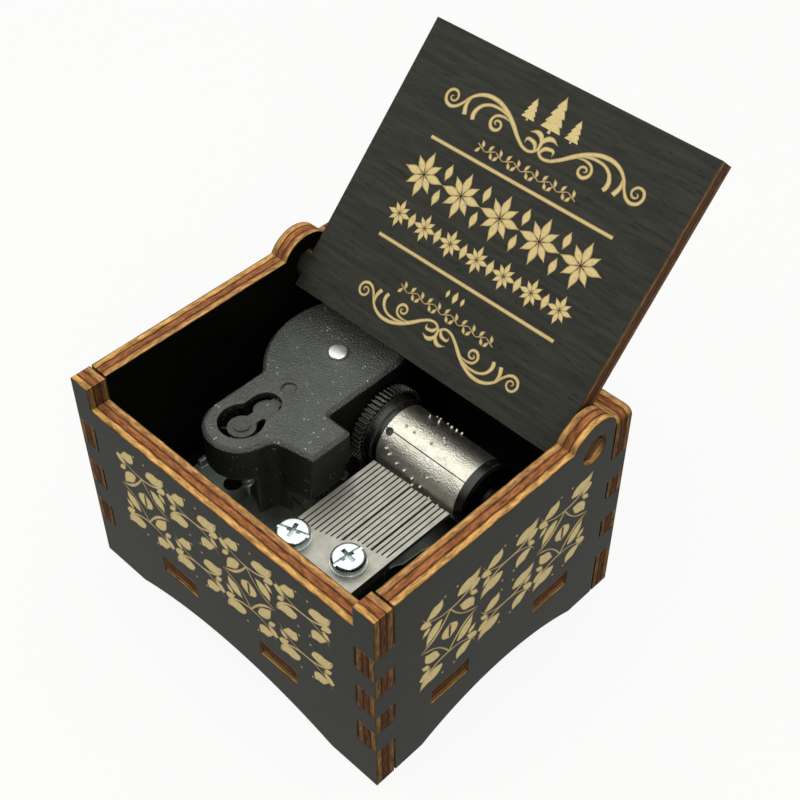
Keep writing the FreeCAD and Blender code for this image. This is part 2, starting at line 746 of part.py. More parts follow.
def music_cylinder():
    """The pinned tube, with a half-round notch at the left end of its seam."""
    x0, x1 = barrel_x + tube_left, barrel_x + tube_right
    tube = rod_x(x0, x1, cylinder_y, axis_z, tube_radius)
    half = pin_width / 2
    stub = box(-half, half, -half, half, tube_radius - tube_wall / 2, pin_sweep)
    pins = []
    for tooth, angle in pin_places():
        pin = stub.rotated(Vector(0, 0, 0), X_AXIS, angle - 90)
        pins.append(pin.translated(Vector(comb_left_x + (tooth + 0.5) * tooth_pitch, cylinder_y, axis_z)))
    tube = tube.multiFuse(pins)
    a = math.radians(seam_angle)
    out = Vector(0, math.cos(a), math.sin(a))
    notch_foot = Vector(x0, cylinder_y, axis_z) + out * (tube_radius - notch_depth)
    notch = Part.makeCylinder(notch_radius, notch_depth + past, notch_foot, out)
    hollow = bar_x(x0 - past, x1 + past, cylinder_y, axis_z, tube_radius - tube_wall, hidden_count)
    return cut_all(tube, [notch, hollow])


def cylinder_shaft():
    """The steel shaft through the cylinder, from the cover's flat side to the bearing bush."""
    start = barrel_x + flat_side - cover_wall
    return bar_x(start, bed_right_x - shaft_inset, cylinder_y, axis_z, shaft_radius)


def bearing_bush():
    """The black bush in the bearing post, which carries the shaft's right end."""
    x1 = barrel_x + post_left
    x0 = x1 - bush_length
    body = rod_x(x0, x1, cylinder_y, axis_z, bush_radius)
    neck = rod_x(x0, bed_right_x, cylinder_y, axis_z, bush_neck_radius)
    bore = bar_x(x0 - past, bed_right_x + past, cylinder_y, axis_z, around(shaft_radius + shaft_play))
    return fused([body, neck]).cut(bore)


def comb():
    """The steel comb: eighteen teeth in three groups, on a base whose tooth roots run on a slant."""
    left, right = comb_left_x, comb_right_x()
    tip_y = cylinder_y - tip_reach
    starts = (0,) + wide_slot_after
    points = [(left, comb_front_y), (right, comb_front_y)]
    for tooth in reversed(range(tooth_count)):
        first = max(start for start in starts if start <= tooth)
        size = min(end for end in wide_slot_after + (tooth_count,) if end > tooth) - first
        tips = tip_y - group_slant * (1 - (tooth - first + 1) / size)
        right_slot = wide_slot if tooth + 1 in wide_slot_after else slot_width
        left_slot = wide_slot if tooth in wide_slot_after else slot_width
        x0 = left + tooth * tooth_pitch + (left_slot / 2 if tooth else 0)
        x1 = left + (tooth + 1) * tooth_pitch - (right_slot / 2 if tooth < tooth_count - 1 else 0)
        points += [(x1, root_y(x1)), (x1, tips), (x0, tips), (x0, root_y(x0))]
    teeth = extrude([(x, y, axis_z - tooth_thickness) for x, y in points], Vector(0, 0, tooth_thickness))
    outline = points[:2] + slant(right, comb_base_inset)
    under = axis_z - comb_base_thickness
    base = extrude([(x, y, under) for x, y in outline], Vector(0, 0, comb_base_thickness))
    holes = [bar_z(x, y, under - past, axis_z + past, screw_radius + screw_play)
             for x, y in comb_screw_places()]
    return cut_all(fused([teeth, base]), holes)


def comb_weights():
    """Lead weights under the tips of the bass teeth, which lower their notes."""
    weights = []
    back = cylinder_y - tip_reach - group_slant - weight_from_tip
    under = axis_z - tooth_thickness
    length, depth = weight_size
    side = slot_width / 2 + weight_side_gap
    for tooth in range(weight_count):
        x0 = comb_left_x + tooth * tooth_pitch
        low = under - depth + weight_step * tooth
        weights.append(box(x0 + side, x0 + tooth_pitch - side, back - length, back, low, under))
    return Part.makeCompound(weights)


def comb_dampers():
    """Fine wires under the bass tips, which silence a tooth before it is plucked again."""
    dampers = []
    back = cylinder_y - tip_reach - group_slant - damper_from_tip
    under = axis_z - tooth_thickness
    thickness, length = damper_size
    for tooth in range(damper_count):
        x0 = comb_left_x + (tooth + 0.5) * tooth_pitch - thickness / 2
        dampers.append(box(x0, x0 + thickness, back - thickness, back, under - length, under))
    return Part.makeCompound(dampers)


def comb_washers():
    """Two plain washers under the comb's screws."""
    washers = []
    top = axis_z + washer_thickness
    for x, y in comb_screw_places():
        disc = rod_z(x, y, axis_z, top, comb_screw_radius)
        washers.append(disc.cut(bar_z(x, y, axis_z - past, top + past, screw_radius + screw_play)))
    return Part.makeCompound(washers)


def comb_screws():
    """Two screws with cross recesses, through the comb into its seat."""
    screws = []
    length, width, depth = (cross_recess[0] / 2, cross_recess[1] / 2, cross_recess[2])
    z = axis_z + washer_thickness
    top = z + comb_screw_height
    for x, y in comb_screw_places():
        head = rod_z(x, y, z, top, comb_screw_radius - washer_margin)
        shank = bar_z(x, y, z - comb_screw_length, top - depth, screw_radius)
        cross = [box(x - length, x + length, y - width, y + width, top - depth, top + past),
                 box(x - width, x + width, y - length, y + length, top - depth, top + past)]
        screws.append(cut_all(fused([head, shank]), cross))
    return Part.makeCompound(screws)


drum_inner_corner = around(drum_radius - drum_wall, hidden_count)
barrel_bore_corner = around(arbor_core_radius + arbor_play)


def spring_barrel():
    """The drum that holds the mainspring, on a flange whose crown teeth drive the cylinder gear."""
    flange = rod_z(0, 0, flange_z, crown_z, crown_radius)
    inner, outer = crown_radius - crown_face, crown_radius
    half = crown_share * math.pi * (inner + outer) / 2 / crown_teeth
    slope = math.tan(math.radians(flank_angle))
    low, high = half + slope * dedendum, half - slope * (crown_tooth_height - dedendum)
    foot_z, top_z = crown_z - tooth_rim, crown_z + crown_tooth_height
    profile = [(inner, -low, foot_z), (inner, low, foot_z), (inner, high, top_z), (inner, -high, top_z)]
    tooth = extrude(profile, Vector(outer - inner - tooth_rim, 0, 0))
    teeth = [tooth.rotated(Vector(0, 0, 0), Z_AXIS, n * 360 / crown_teeth) for n in range(crown_teeth)]
    drum = rod_z(0, 0, flange_z, drum_top_z, drum_radius)
    barrel = flange.multiFuse(teeth + [drum]).removeSplitter()
    hollow = bar_z(0, 0, flange_z + drum_floor, drum_top_z + past, drum_inner_corner, hidden_count)
    bore = bar_z(0, 0, flange_z - past, flange_z + drum_floor + past, barrel_bore_corner)
    return cut_all(barrel, [hollow, bore]).translated(Vector(barrel_x, cylinder_y, 0))


def barrel_cover():
    """The disc snapped into the top of the drum."""
    low, high = drum_top_z - drum_wall, drum_top_z
    disc = bar_z(barrel_x, cylinder_y, low, high, drum_inner_corner, hidden_count)
    return disc.cut(bar_z(barrel_x, cylinder_y, low - past, high + past, barrel_bore_corner))


def mainspring():
    """The flat spiral spring in the drum, drawn part wound with evenly spread turns."""
    z0 = flange_z + drum_floor
    z1 = drum_top_z - drum_wall - spring_gap
    inner = arbor_core_radius + spring_gap
    outer = drum_radius - drum_wall - spring_thickness
    steps = spring_turns * spring_flats

    def spiral(offset):
        points = []
        for n in range(steps + 1):
            a = 2 * math.pi * n / spring_flats
            radius = inner + (outer - inner) * n / steps + offset
            points.append((radius * math.cos(a), radius * math.sin(a), z0))
        return points

    strip = extrude(spiral(0) + spiral(spring_thickness)[::-1], Vector(0, 0, z1 - z0))
    return strip.translated(Vector(barrel_x, cylinder_y, 0))


def winding_arbor():
    """The stepped arbor from the key up through bed plate and barrel to the cover."""
    foot_z = key_top_z - key_socket_depth
    neck_z = cover_under_z - end_play
    pieces = [
        bar_z(0, 0, foot_z, flange_z, arbor_radius),
        bar_z(0, 0, flange_z - end_play / 2, ratchet_z, arbor_core_radius),
        bar_z(0, 0, flange_z, neck_z, arbor_neck_radius),
        bar_z(0, 0, flange_z, cover_z + pivot_play, arbor_pivot_radius)]
    return fused(pieces).translated(Vector(barrel_x, cylinder_y, 0))


def arbor_rivet():
    """The bright round-topped rivet on the arbor's upper end, above the cover."""
    z = cover_z + pivot_play
    return bevelled_disc(barrel_x, cylinder_y, z, z + rivet_rise, rivet_radius, rivet_bevel)


def ratchet_wheel():
    """The saw-toothed wheel on the arbor that keeps the spring from unwinding through the key."""
    root = ratchet_radius - ratchet_depth
    points = []
    for n in range(ratchet_teeth):
        for part, radius in ((0, ratchet_radius), (ratchet_rise, root)):
            a = 2 * math.pi * (n + part) / ratchet_teeth
            points.append((radius * math.cos(a), radius * math.sin(a), ratchet_z))
    wheel = extrude(points, Vector(0, 0, ratchet_thickness))
    top = ratchet_z + ratchet_thickness
    wheel = wheel.cut(bar_z(0, 0, ratchet_z - past, top + past, arbor_neck_radius))
    return wheel.translated(Vector(barrel_x, cylinder_y, 0))


def click_spring():
    """The springy click that bears on the ratchet's teeth, on a post under the cover's top."""
    x = -ratchet_radius - click_gap
    post_y, tip_y = click_reach
    z0, z1 = ratchet_z + pivot_play, ratchet_z + ratchet_thickness - pivot_play
    leaf = box(x - click_thickness, x, -post_y, tip_y, z0, z1)
    post = bar_z(x - click_thickness, -post_y, z0, cover_under_z, click_post_radius)
    return fused([leaf, post]).translated(Vector(barrel_x, cylinder_y, 0))


def winding_key():
    """The butterfly key under the case: two flat wings with finger holes on a round hub."""
    z0, z1 = key_floor_gap, key_floor_gap + key_height
    bulge = key_height / 2
    middle_z = z0 + bulge
    half = key_span / 2
    side = half - bulge
    dip_x, dip = key_dip
    y = -key_sheet / 2
    edges = [
        line((-side, y, z0), (-dip_x, y, z0 + dip)),
        line((-dip_x, y, z0 + dip), (dip_x, y, z0 + dip)),
        line((dip_x, y, z0 + dip), (side, y, z0)),
        arc((side, y, z0), (half, y, middle_z), (side, y, z1)),
        line((side, y, z1), (-side, y, z1)),
        arc((-side, y, z1), (-half, y, middle_z), (-side, y, z0))]
    wings = Part.Face(Part.Wire(edges)).extrude(Vector(0, key_sheet, 0))
    hub = rod_z(0, 0, z0 + dip, key_top_z, key_hub_radius)
    holes = [Part.makeCylinder(key_hole_radius, key_sheet + 2 * past, Vector(x, y - past, middle_z), Y_AXIS)
             for x in (-side, side)]
    socket = bar_z(0, 0, key_top_z - key_socket_depth, key_top_z + past, arbor_radius)
    return cut_all(fused([wings, hub]), holes + [socket]).translated(Vector(barrel_x, cylinder_y, 0))


def cover_corners(inset, lean=0.0):
    """Corners of the movement cover's plan, anticlockwise from the neck's back end."""
    neck = worm_x - governor_lobe_radius + inset
    back = cylinder_y + lobe_reach_back - inset
    right = barrel_x + flat_side - inset
    block_x = barrel_x + flat_side + block_reach - inset - lean
    radius = governor_lobe_radius - inset
    turn = math.radians(block_front_angle)
    side_x = barrel_x - lobe_reach_left + lobe_side_radius
    side_y = cylinder_y + lobe_side_middle
    side = lobe_side_radius - inset
    return {
        "neck front": (neck, worm_y),
        "lobe front": (worm_x, worm_y - radius),
        "lobe meet": (worm_x + radius * math.cos(turn), worm_y + radius * math.sin(turn)),
        "block front": (block_x, cylinder_y - block_front + inset),
        "block back": (block_x, cylinder_y - block_back - inset),
        "notch": (right, cylinder_y - block_back - inset),
        "corner start": (right, back - lobe_corner + inset),
        "corner end": (right - lobe_corner + inset, back),
        "back left": (side_x - math.sqrt(side ** 2 - (back - side_y) ** 2), back),
        "lobe side": (side_x - side, side_y),
        "neck back": (neck, side_y - math.sqrt(side ** 2 - (side_x - neck) ** 2))}


def cover_outline(inset, z, lean=0.0):
    """The movement cover's plan: barrel lobe, straight neck, governor lobe and the square block."""
    at = {name: (x, y, z) for name, (x, y) in cover_corners(inset, lean).items()}
    fillet = lobe_corner - inset
    quarter = fillet * (1 - math.sqrt(0.5))
    corner = (at["corner start"][0] - quarter, at["corner end"][1] - quarter, z)
    straight = ("lobe meet", "block front", "block back", "notch", "corner start")
    edges = [line(at[a], at[b]) for a, b in zip(straight, straight[1:])]
    return Part.Wire([arc(at["neck front"], at["lobe front"], at["lobe meet"])] + edges + [
        arc(at["corner start"], corner, at["corner end"]),
        line(at["corner end"], at["back left"]),
        arc(at["back left"], at["lobe side"], at["neck back"]),
        line(at["neck back"], at["neck front"])])


def round_uprights(shape, places, radius):
    """Round the upright edges of a shape that stand at the given places in plan."""
    edges = [edge for edge in shape.Edges if edge.BoundBox.ZLength > 1
             and any(math.hypot(edge.CenterOfMass.x - x, edge.CenterOfMass.y - y) < 1e-3 for x, y in places)]
    return shape.makeFillet(radius, edges)


def movement_cover():
    """The black cover over barrel and governor, open below, with a keyhole over the worm's bearing."""
    foot_z = bed_z + lobe_foot
    outer = Part.Face(cover_outline(0, foot_z)).extrude(Vector(0, 0, cover_z - foot_z))
    at = cover_corners(0)
    rounded = (("back left",), ("neck back",), ("lobe meet",), ("block front", "block back", "notch"))
    for names, radius in zip(rounded, soft_corners):
        outer = round_uprights(outer, [at[name] for name in names], radius)
    rim = [edge for edge in outer.Edges if edge.BoundBox.ZMin > cover_z - 0.001]
    outer = outer.makeChamfer(cover_round, rim)
    hollow = Part.Face(cover_outline(cover_wall, foot_z - past, block_lean))
    hollow = hollow.extrude(Vector(0, 0, cover_under_z - foot_z + past))
    legs = [bar_z(x, y, bed_z, cover_under_z + cover_top / 2, leg_radius) for x, y in leg_places()]
    shell = cut_all(outer, [hollow] + cover_cuts(foot_z - past))
    return cut_all(fused([shell] + legs), cover_holes())


def cover_cuts(low_z):
    """What the cover's sides lose: the block's lean, and all under the raised edges of lobe and block."""
    side_x = barrel_x + flat_side
    block_x = side_x + block_reach
    right = block_x + past
    front, back = cylinder_y - block_front - past, cylinder_y - block_back + past
    lobe_front, lobe_back = worm_y - governor_lobe_radius - past, cylinder_y - lobe_edge_back
    block_z = cover_z - block_depth
    top_z = cover_z - cover_round
    lobe_z = cover_z - governor_lobe_depth
    seam_x = worm_x + governor_lobe_radius - lobe_edge_inset
    lean = extrude([(block_x, front, top_z), (right, front, top_z),
                    (right, front, block_z), (block_x - block_lean, front, block_z)],
                   Vector(0, back - front, 0))
    wall_y = cylinder_y - block_back - cover_wall
    window_y = cylinder_y - block_back + soft_corners[3]
    return [lean,
            box(worm_x - governor_lobe_radius - past, seam_x, lobe_front, lobe_back, low_z, lobe_z),
            box(seam_x, right, front, wall_y, low_z, block_z),
            box(side_x, right, wall_y, window_y, low_z, block_z + gear_window)]


def cover_holes():
    """The keyhole and the round recess in the cover's top, and the pivot holes of arbor and shaft."""
    low, high = cover_under_z - past, cover_z + past
    ring_y = worm_y + keyhole_length
    side_x = barrel_x + flat_side
    return [rod_z(worm_x, worm_y, low, high, keyhole_radius),
            rod_z(worm_x, ring_y, low, high, keyhole_neck),
            box(worm_x - keyhole_neck, worm_x + keyhole_neck, worm_y, ring_y, low, high),
            rod_z(worm_x, cylinder_y - recess_back, cover_z - recess_depth, high, recess_radius),
            bar_z(barrel_x, cylinder_y, low, high, around(arbor_pivot_radius + arbor_play)),
            bar_x(side_x - cover_wall - past, side_x + past, cylinder_y, axis_z,
                  around(shaft_radius + shaft_play))]


def top_bearing_arm():
    """The springy arm under the cover's top whose round end holds the worm's upper pivot."""
    z1 = cover_under_z
    z0 = z1 - arm_thickness
    half = arm_neck / 2
    arm = [rod_z(worm_x, worm_y, z0, z1, arm_ring_radius),
           box(worm_x - half, worm_x + half, worm_y, cylinder_y - arm_back, z0, z1),
           rod_z(worm_x, worm_y + keyhole_length, z0, z1, arm_neck),
           rod_z(worm_x, worm_y, z0, z1 + arm_boss_rise, arm_boss_radius)]
    socket = bar_z(worm_x, worm_y, z0 - past, z1, around(worm_end_radius + shaft_play))
    return fused(arm).cut(socket)


def train_bracket():
    """The steel bracket on the bed plate that carries the idler and the governor wheel's right pivot."""
    idler_y, idler_z = idler_centre()
    wheel_y, wheel_z = wheel_centre()
    x1 = barrel_x + gear_left - bracket_gap
    x0 = x1 - bracket_thickness
    front, back = wheel_y - bracket_margin, idler_y + bracket_margin
    top = max(idler_z, wheel_z) + bracket_margin
    low = bed_z + web_gap
    plate = box(x0, x1, front, back, bed_z, top)
    foot = box(x0 - bracket_foot, x1, front, wheel_y + bracket_margin, bed_z, bed_z + bracket_thickness)
    step_x = x1 - web_tall
    outline = [(x1, low), (x1, top), (step_x, top), (step_x - web_step[0], top - web_step[1]),
               (x0 - web_reach, low + web_low), (x0 - web_reach, low)]
    web = extrude([(x, front, z) for x, z in outline], Vector(0, bracket_thickness / 2, 0))
    holes = [bar_x(x0 - past, x1 + past, idler_y, idler_z, worm_shaft_radius),
             bar_x(x0 - past, x1 + past, wheel_y, wheel_z, around(worm_shaft_radius + shaft_play))]
    return cut_all(fused([plate, foot, web]), holes)


def idler_pin():
    """The fixed pin on the bracket that the idler turns on, with a head that keeps the gear in place."""
    y, z = idler_centre()
    x = barrel_x + gear_left
    head_x = x + idler_width + end_play / 2
    pin = bar_x(x - bracket_gap - bracket_thickness, head_x + idler_pin_head, y, z, worm_shaft_radius)
    head = bar_x(head_x, head_x + idler_pin_head, y, z, 2 * worm_shaft_radius)
    return fused([pin, head])


def idler_gear():
    """The idler between cylinder gear and governor pinion."""
    y, z = idler_centre()
    gear = toothed_disc(idler_teeth, module, idler_width, tooth_share, addendum, dedendum, idler_turn())
    bore = rod_x(-past, idler_width + past, 0, 0, worm_shaft_radius + shaft_play)
    return gear.cut(bore).translated(Vector(barrel_x + gear_left, y, z))


def governor_wheel():
    """The wheel that drives the worm, with its pinion and shaft in one piece."""
    y, z = wheel_centre()
    hub_radius, hub_reach = wheel_hub
    pinion_x = barrel_x + gear_left
    left_x = worm_x - wheel_post_gap - wheel_post_thickness + pivot_play
    wheel = toothed_disc(wheel_teeth, worm_module, wheel_width, tooth_share, worm_addendum, worm_dedendum,
                         180 + 180 / wheel_teeth)
    wheel.translate(Vector(worm_x - wheel_width / 2, y, z))
    hub = rod_x(worm_x - hub_reach, worm_x + hub_reach, y, z, hub_radius)
    pinion = toothed_disc(pinion_teeth, module, gear_width, tooth_share, addendum, dedendum, pinion_turn())
    pinion.translate(Vector(pinion_x, y, z))
    shaft = bar_x(left_x, pinion_x + gear_width / 2, y, z, worm_shaft_radius)
    return fused([wheel, hub, shaft, pinion])


def governor_worm():
    """The upright worm on its shaft, with a single right-handed thread that runs at the wheel's height."""
    lead = math.pi * worm_module
    start = wheel_centre()[1] - worm_turns // 2 * lead
    end = start + worm_turns * lead
    root, tip = worm_pitch_radius - worm_dedendum, worm_pitch_radius + worm_addendum
    half = worm_share * lead / 2
    slope = math.tan(math.radians(flank_angle))
    low, high = half + slope * worm_dedendum, half - slope * worm_addendum
    profile = ((root / 2, -low), (tip, -high), (tip, high), (root / 2, low))
    rings = []
    for n in range(worm_turns * worm_flats + 1):
        a = math.pi / 2 + 2 * math.pi * n / worm_flats
        z = start + lead * n / worm_flats
        rings.append([Vector(r * math.cos(a), r * math.sin(a), z + dz) for r, dz in profile])
    faces = [flat_face(rings[0]), flat_face(rings[-1])]
    for near, far in zip(rings, rings[1:]):
        for n in range(len(profile)):
            faces.append(flat_face((near[n - 1], near[n], far[n])))
            faces.append(flat_face((near[n - 1], far[n], far[n - 1])))
    thread = Part.Solid(Part.Shell(faces))
    core = bar_z(0, 0, start - worm_core_reach, end + worm_core_reach, root, worm_flats)
    foot_z = case_floor_z + worm_foot_depth + pivot_play
    arm_z = cover_under_z - arm_thickness - end_play
    shaft = [bar_z(0, 0, foot_z, start, worm_end_radius),
             bar_z(0, 0, end, arm_z, worm_shaft_radius),
             bar_z(0, 0, end, cover_under_z - pivot_play, worm_end_radius)]
    return fused([core, thread] + shaft).translated(Vector(worm_x, worm_y, 0))


def air_fan():
    """The fan on the worm's shaft that steadies the speed: two flat blades on a hub."""
    top = cover_under_z - arm_thickness - fan_gap
    bottom = top - fan_height
    blade = box(-fan_radius, fan_radius, -fan_sheet / 2, fan_sheet / 2, bottom, top)
    corners = [edge for edge in blade.Edges
               if abs(abs(edge.CenterOfMass.x) - fan_radius) < 1e-6 and edge.Length < fan_sheet + 0.01]
    blade = blade.makeFillet(fan_corner, corners)
    hub = rod_z(0, 0, bottom, top, fan_hub_radius)
    fan = fused([hub, blade])
    fan.rotate(Vector(0, 0, 0), Z_AXIS, fan_turn)
    fan = fan.cut(bar_z(0, 0, bottom - past, top + past, worm_shaft_radius))
    return fan.translated(Vector(worm_x, worm_y, 0))


def open_middle():
    """How far the middle of the whole box with its lid open is behind the middle of the case."""
    swing = math.radians(open_angle())
    reach = hinge_y + half_depth - lid_front_setback
    lid_back = hinge_y - reach * math.cos(swing) + ply / 2 * math.sin(swing)
    return (lid_back - half_depth) / 2


sub_parts = {
    "front_panel": front_panel,
    "back_panel": back_panel,
    "bottom_panel": bottom_panel,
    "lid": lid,
    "left_side": lambda: side_wall(-1),
    "right_side": lambda: side_wall(1),
    "bed_plate": bed_plate,
    "movement_screws": movement_screws,
    "spring_barrel": spring_barrel,
    "barrel_cover": barrel_cover,
    "mainspring": mainspring,
    "winding_arbor": winding_arbor,
    "arbor_rivet": arbor_rivet,
    "ratchet_wheel": ratchet_wheel,
    "click_spring": click_spring,
    "winding_key": winding_key,
    "movement_cover": movement_cover,
    "top_bearing_arm": top_bearing_arm,
    "music_cylinder": music_cylinder,
    "cylinder_gear": cylinder_gear,
    "cylinder_end_cap": end_cap,
    "cylinder_shaft": cylinder_shaft,
    "bearing_bush": bearing_bush,
    "comb": comb,
    "comb_weights": comb_weights,
    "comb_dampers": comb_dampers,
    "comb_washers": comb_washers,
    "comb_screws": comb_screws,
    "train_bracket": train_bracket,
    "idler_pin": idler_pin,
    "idler_gear": idler_gear,
    "governor_wheel": governor_wheel,
    "governor_worm": governor_worm,
    "air_fan": air_fan,
}

to_origin = Vector(0, -open_middle(), 0)
os.makedirs("parts", exist_ok=True)
for node, make in sub_parts.items():
    make().translated(to_origin).exportStep(f"parts/{node}.step")
print(f"case {box_width:.1f} x {box_depth:.1f} x {wall_height:.1f}, lid opens {open_angle():.1f} degrees")
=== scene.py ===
# %% [markdown]
# # A wind-up wooden music box
#
# The box is a small plywood case, painted black and then laser engraved, with a spring movement inside.
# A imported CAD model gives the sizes, the places and the moving bodies. This lesson dresses that model: it
# gives every surface a finish, adds the engraving and the fine pieces that solids leave out, and sets up a
# photograph-like view. Everything is in metres, in the frame of the CAD model, and MM turns millimetres into
# metres. The model is centred with its lid open, so case_middle says where the middle of the case lies in Y.

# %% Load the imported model
import json
import math

import bmesh
import bpy
from mathutils import Matrix, Vector

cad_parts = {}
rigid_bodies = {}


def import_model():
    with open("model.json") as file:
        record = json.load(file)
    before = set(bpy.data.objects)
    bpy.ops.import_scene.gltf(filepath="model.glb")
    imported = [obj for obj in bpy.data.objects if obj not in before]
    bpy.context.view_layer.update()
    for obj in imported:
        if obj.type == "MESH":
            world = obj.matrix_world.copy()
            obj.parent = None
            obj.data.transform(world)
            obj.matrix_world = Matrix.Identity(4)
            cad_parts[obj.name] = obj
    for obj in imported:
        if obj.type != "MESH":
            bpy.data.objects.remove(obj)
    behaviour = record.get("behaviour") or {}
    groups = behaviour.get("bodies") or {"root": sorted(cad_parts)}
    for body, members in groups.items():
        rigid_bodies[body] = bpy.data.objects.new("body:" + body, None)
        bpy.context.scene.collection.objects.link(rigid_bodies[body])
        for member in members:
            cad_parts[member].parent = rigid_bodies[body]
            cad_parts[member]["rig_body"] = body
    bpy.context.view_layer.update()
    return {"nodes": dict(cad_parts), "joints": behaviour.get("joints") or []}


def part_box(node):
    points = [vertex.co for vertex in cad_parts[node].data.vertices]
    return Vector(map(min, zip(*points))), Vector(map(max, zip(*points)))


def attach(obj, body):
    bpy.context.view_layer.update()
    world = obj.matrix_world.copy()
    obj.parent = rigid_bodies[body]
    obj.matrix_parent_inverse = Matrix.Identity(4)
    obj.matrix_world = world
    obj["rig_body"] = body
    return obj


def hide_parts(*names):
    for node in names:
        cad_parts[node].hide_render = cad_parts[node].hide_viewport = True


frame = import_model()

MM = 0.001
nodes = frame["nodes"]
joints = {joint["name"]: joint for joint in frame["joints"]}
case_middle = (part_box("front_panel")[0].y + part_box("back_panel")[1].y) / 2
to_case = Vector((0, case_middle, 0))
print(f"{len(nodes)} pieces from CAD, case middle at y {case_middle / MM:.2f} mm")

# %% [markdown]
# ## The view
#
# A product photograph like this is taken from about 45 degrees above, over one corner, with a short
# telephoto lens. A camera object looks down its own -Z, so tilting it by 90 degrees less the height angle
# and then turning it about Z aims it. The focal length belongs to a frame 36 mm wide. A camera could also be
# aimed by a constraint, but plain angles stay as they are when a piece moves.

# %% Camera
quarter = math.pi / 2
camera_place = Vector((116.6, -108.1, 203.7)) * MM
camera_turn = math.radians(44.27)
camera_height = math.radians(45.63)
frame_width, focal_length = 36, 64.78
camera_data = bpy.data.cameras.new("camera")
camera_data.sensor_width = frame_width
camera_data.lens = focal_length
camera_data.clip_start = 10 * MM
camera = bpy.data.objects.new("camera", camera_data)
camera.location = camera_place + to_case
camera.rotation_euler = (quarter - camera_height, 0, camera_turn)
bpy.context.scene.collection.objects.link(camera)
bpy.context.scene.camera = camera
print(f"camera {camera_place.length / MM:.0f} mm from the case, lens {focal_length} mm")

# %% [markdown]
# ## Nodes in a few words
#
# A material is a small graph of nodes. Written out in full, a graph hides its idea in a crowd of lines, so
# a few helpers make the common nodes: a noise that is stretched along a grain, a ramp of colours, a bit of
# arithmetic. Each takes the tree it works in, and returns the socket that carries its result.


# %% Helpers for node trees
def join(tree, value, socket):
    """Feed a socket with another socket, or set it to a plain value."""
    if isinstance(value, bpy.types.NodeSocket):
        tree.links.new(value, socket)
    else:
        socket.default_value = value


def arithmetic(tree, operation, a, b=0.0, clamp=False):
    """The result of a sum, product, power or other operation on two values."""
    node = tree.nodes.new("ShaderNodeMath")
    node.operation = operation
    node.use_clamp = clamp
    join(tree, a, node.inputs[0])
    join(tree, b, node.inputs[1])
    return node.outputs[0]


def times(tree, a, b):
    """The product of two values."""
    return arithmetic(tree, "MULTIPLY", a, b)


def noise(tree, vector, scale, stretch=(1, 1, 1), detail=2.0, roughness=0.5, distortion=0.0):
    """Noise from 0 to 1 at a scale in features per millimetre, stretched where an axis is scaled down."""
    mapping = tree.nodes.new("ShaderNodeMapping")
    mapping.inputs["Scale"].default_value = stretch
    join(tree, vector, mapping.inputs["Vector"])
    node = tree.nodes.new("ShaderNodeTexNoise")
    node.inputs["Scale"].default_value = scale
    node.inputs["Detail"].default_value = detail
    node.inputs["Roughness"].default_value = roughness
    node.inputs["Distortion"].default_value = distortion
    tree.links.new(mapping.outputs[0], node.inputs["Vector"])
    return node.outputs["Fac"]


def ramp(tree, value, stops):
    """A colour for each value from 0 to 1, from a list of places and colours."""
    node = tree.nodes.new("ShaderNodeValToRGB")
    elements = node.color_ramp.elements
    while len(elements) < len(stops):
        elements.new(0.5)
    for element, (place, colour) in zip(elements, stops):
        element.position = place
        element.color = (*colour, 1)
    join(tree, value, node.inputs[0])
    return node.outputs["Color"]


def span(tree, value, low, high, new_low=0.0, new_high=1.0):
    """A value moved from one range to another, and kept inside it."""
    node = tree.nodes.new("ShaderNodeMapRange")
    for socket, number in zip(node.inputs[1:5], (low, high, new_low, new_high)):
        join(tree, number, socket)
    join(tree, value, node.inputs[0])
    return node.outputs[0]


def blended(tree, share, first, second, mode="MIX"):
    """Two colours mixed by a share, or one multiplied by the other."""
    node = tree.nodes.new("ShaderNodeMix")
    node.data_type = "RGBA"
    node.blend_type = mode
    join(tree, share, node.inputs[0])
    for socket, value in ((node.inputs[6], first), (node.inputs[7], second)):
        join(tree, (*value, 1) if isinstance(value, tuple) and len(value) == 3 else value, socket)
    return node.outputs[2]


# %% [markdown]
# A surface can be made rough without moving it: a Bump node only tilts the normal. Patterns read the place
# of a point in the piece's own coordinates, so they stay on the piece when it moves.

# %% Helpers for normals and places
def bump(tree, height, distance, strength=1.0, normal=None):
    """A normal that tilts as if the surface rose by height times a distance in millimetres."""
    node = tree.nodes.new("ShaderNodeBump")
    node.inputs["Distance"].default_value = distance * MM
    node.inputs["Strength"].default_value = strength
    join(tree, height, node.inputs["Height"])
    if normal is not None:
        tree.links.new(normal, node.inputs["Normal"])
    return node.outputs[0]


def parts(tree, vector):
    """The X, Y and Z of a vector."""
    node = tree.nodes.new("ShaderNodeSeparateXYZ")
    tree.links.new(vector, node.inputs[0])
    return node.outputs


def upward(tree):
    """How far the surface faces up, from -1 to 1, in the own directions of the piece."""
    return parts(tree, tree.nodes.new("ShaderNodeTexCoord").outputs["Normal"])[2]


def turned(tree, vector, angles):
    """A vector that is turned about the axes by three angles."""
    node = tree.nodes.new("ShaderNodeMapping")
    node.inputs["Rotation"].default_value = angles
    tree.links.new(vector, node.inputs["Vector"])
    return node.outputs[0]


def place_in_mm(tree):
    """Object coordinates in millimetres."""
    coordinates = tree.nodes.new("ShaderNodeTexCoord")
    scale = tree.nodes.new("ShaderNodeVectorMath")
    scale.operation = "SCALE"
    scale.inputs["Scale"].default_value = 1 / MM
    tree.links.new(coordinates.outputs["Object"], scale.inputs[0])
    return scale.outputs[0]


# %% [markdown]
# A pattern that several materials need is put in a node group with sockets of its own. A material is then
# a Principled shader and the few groups that feed it.

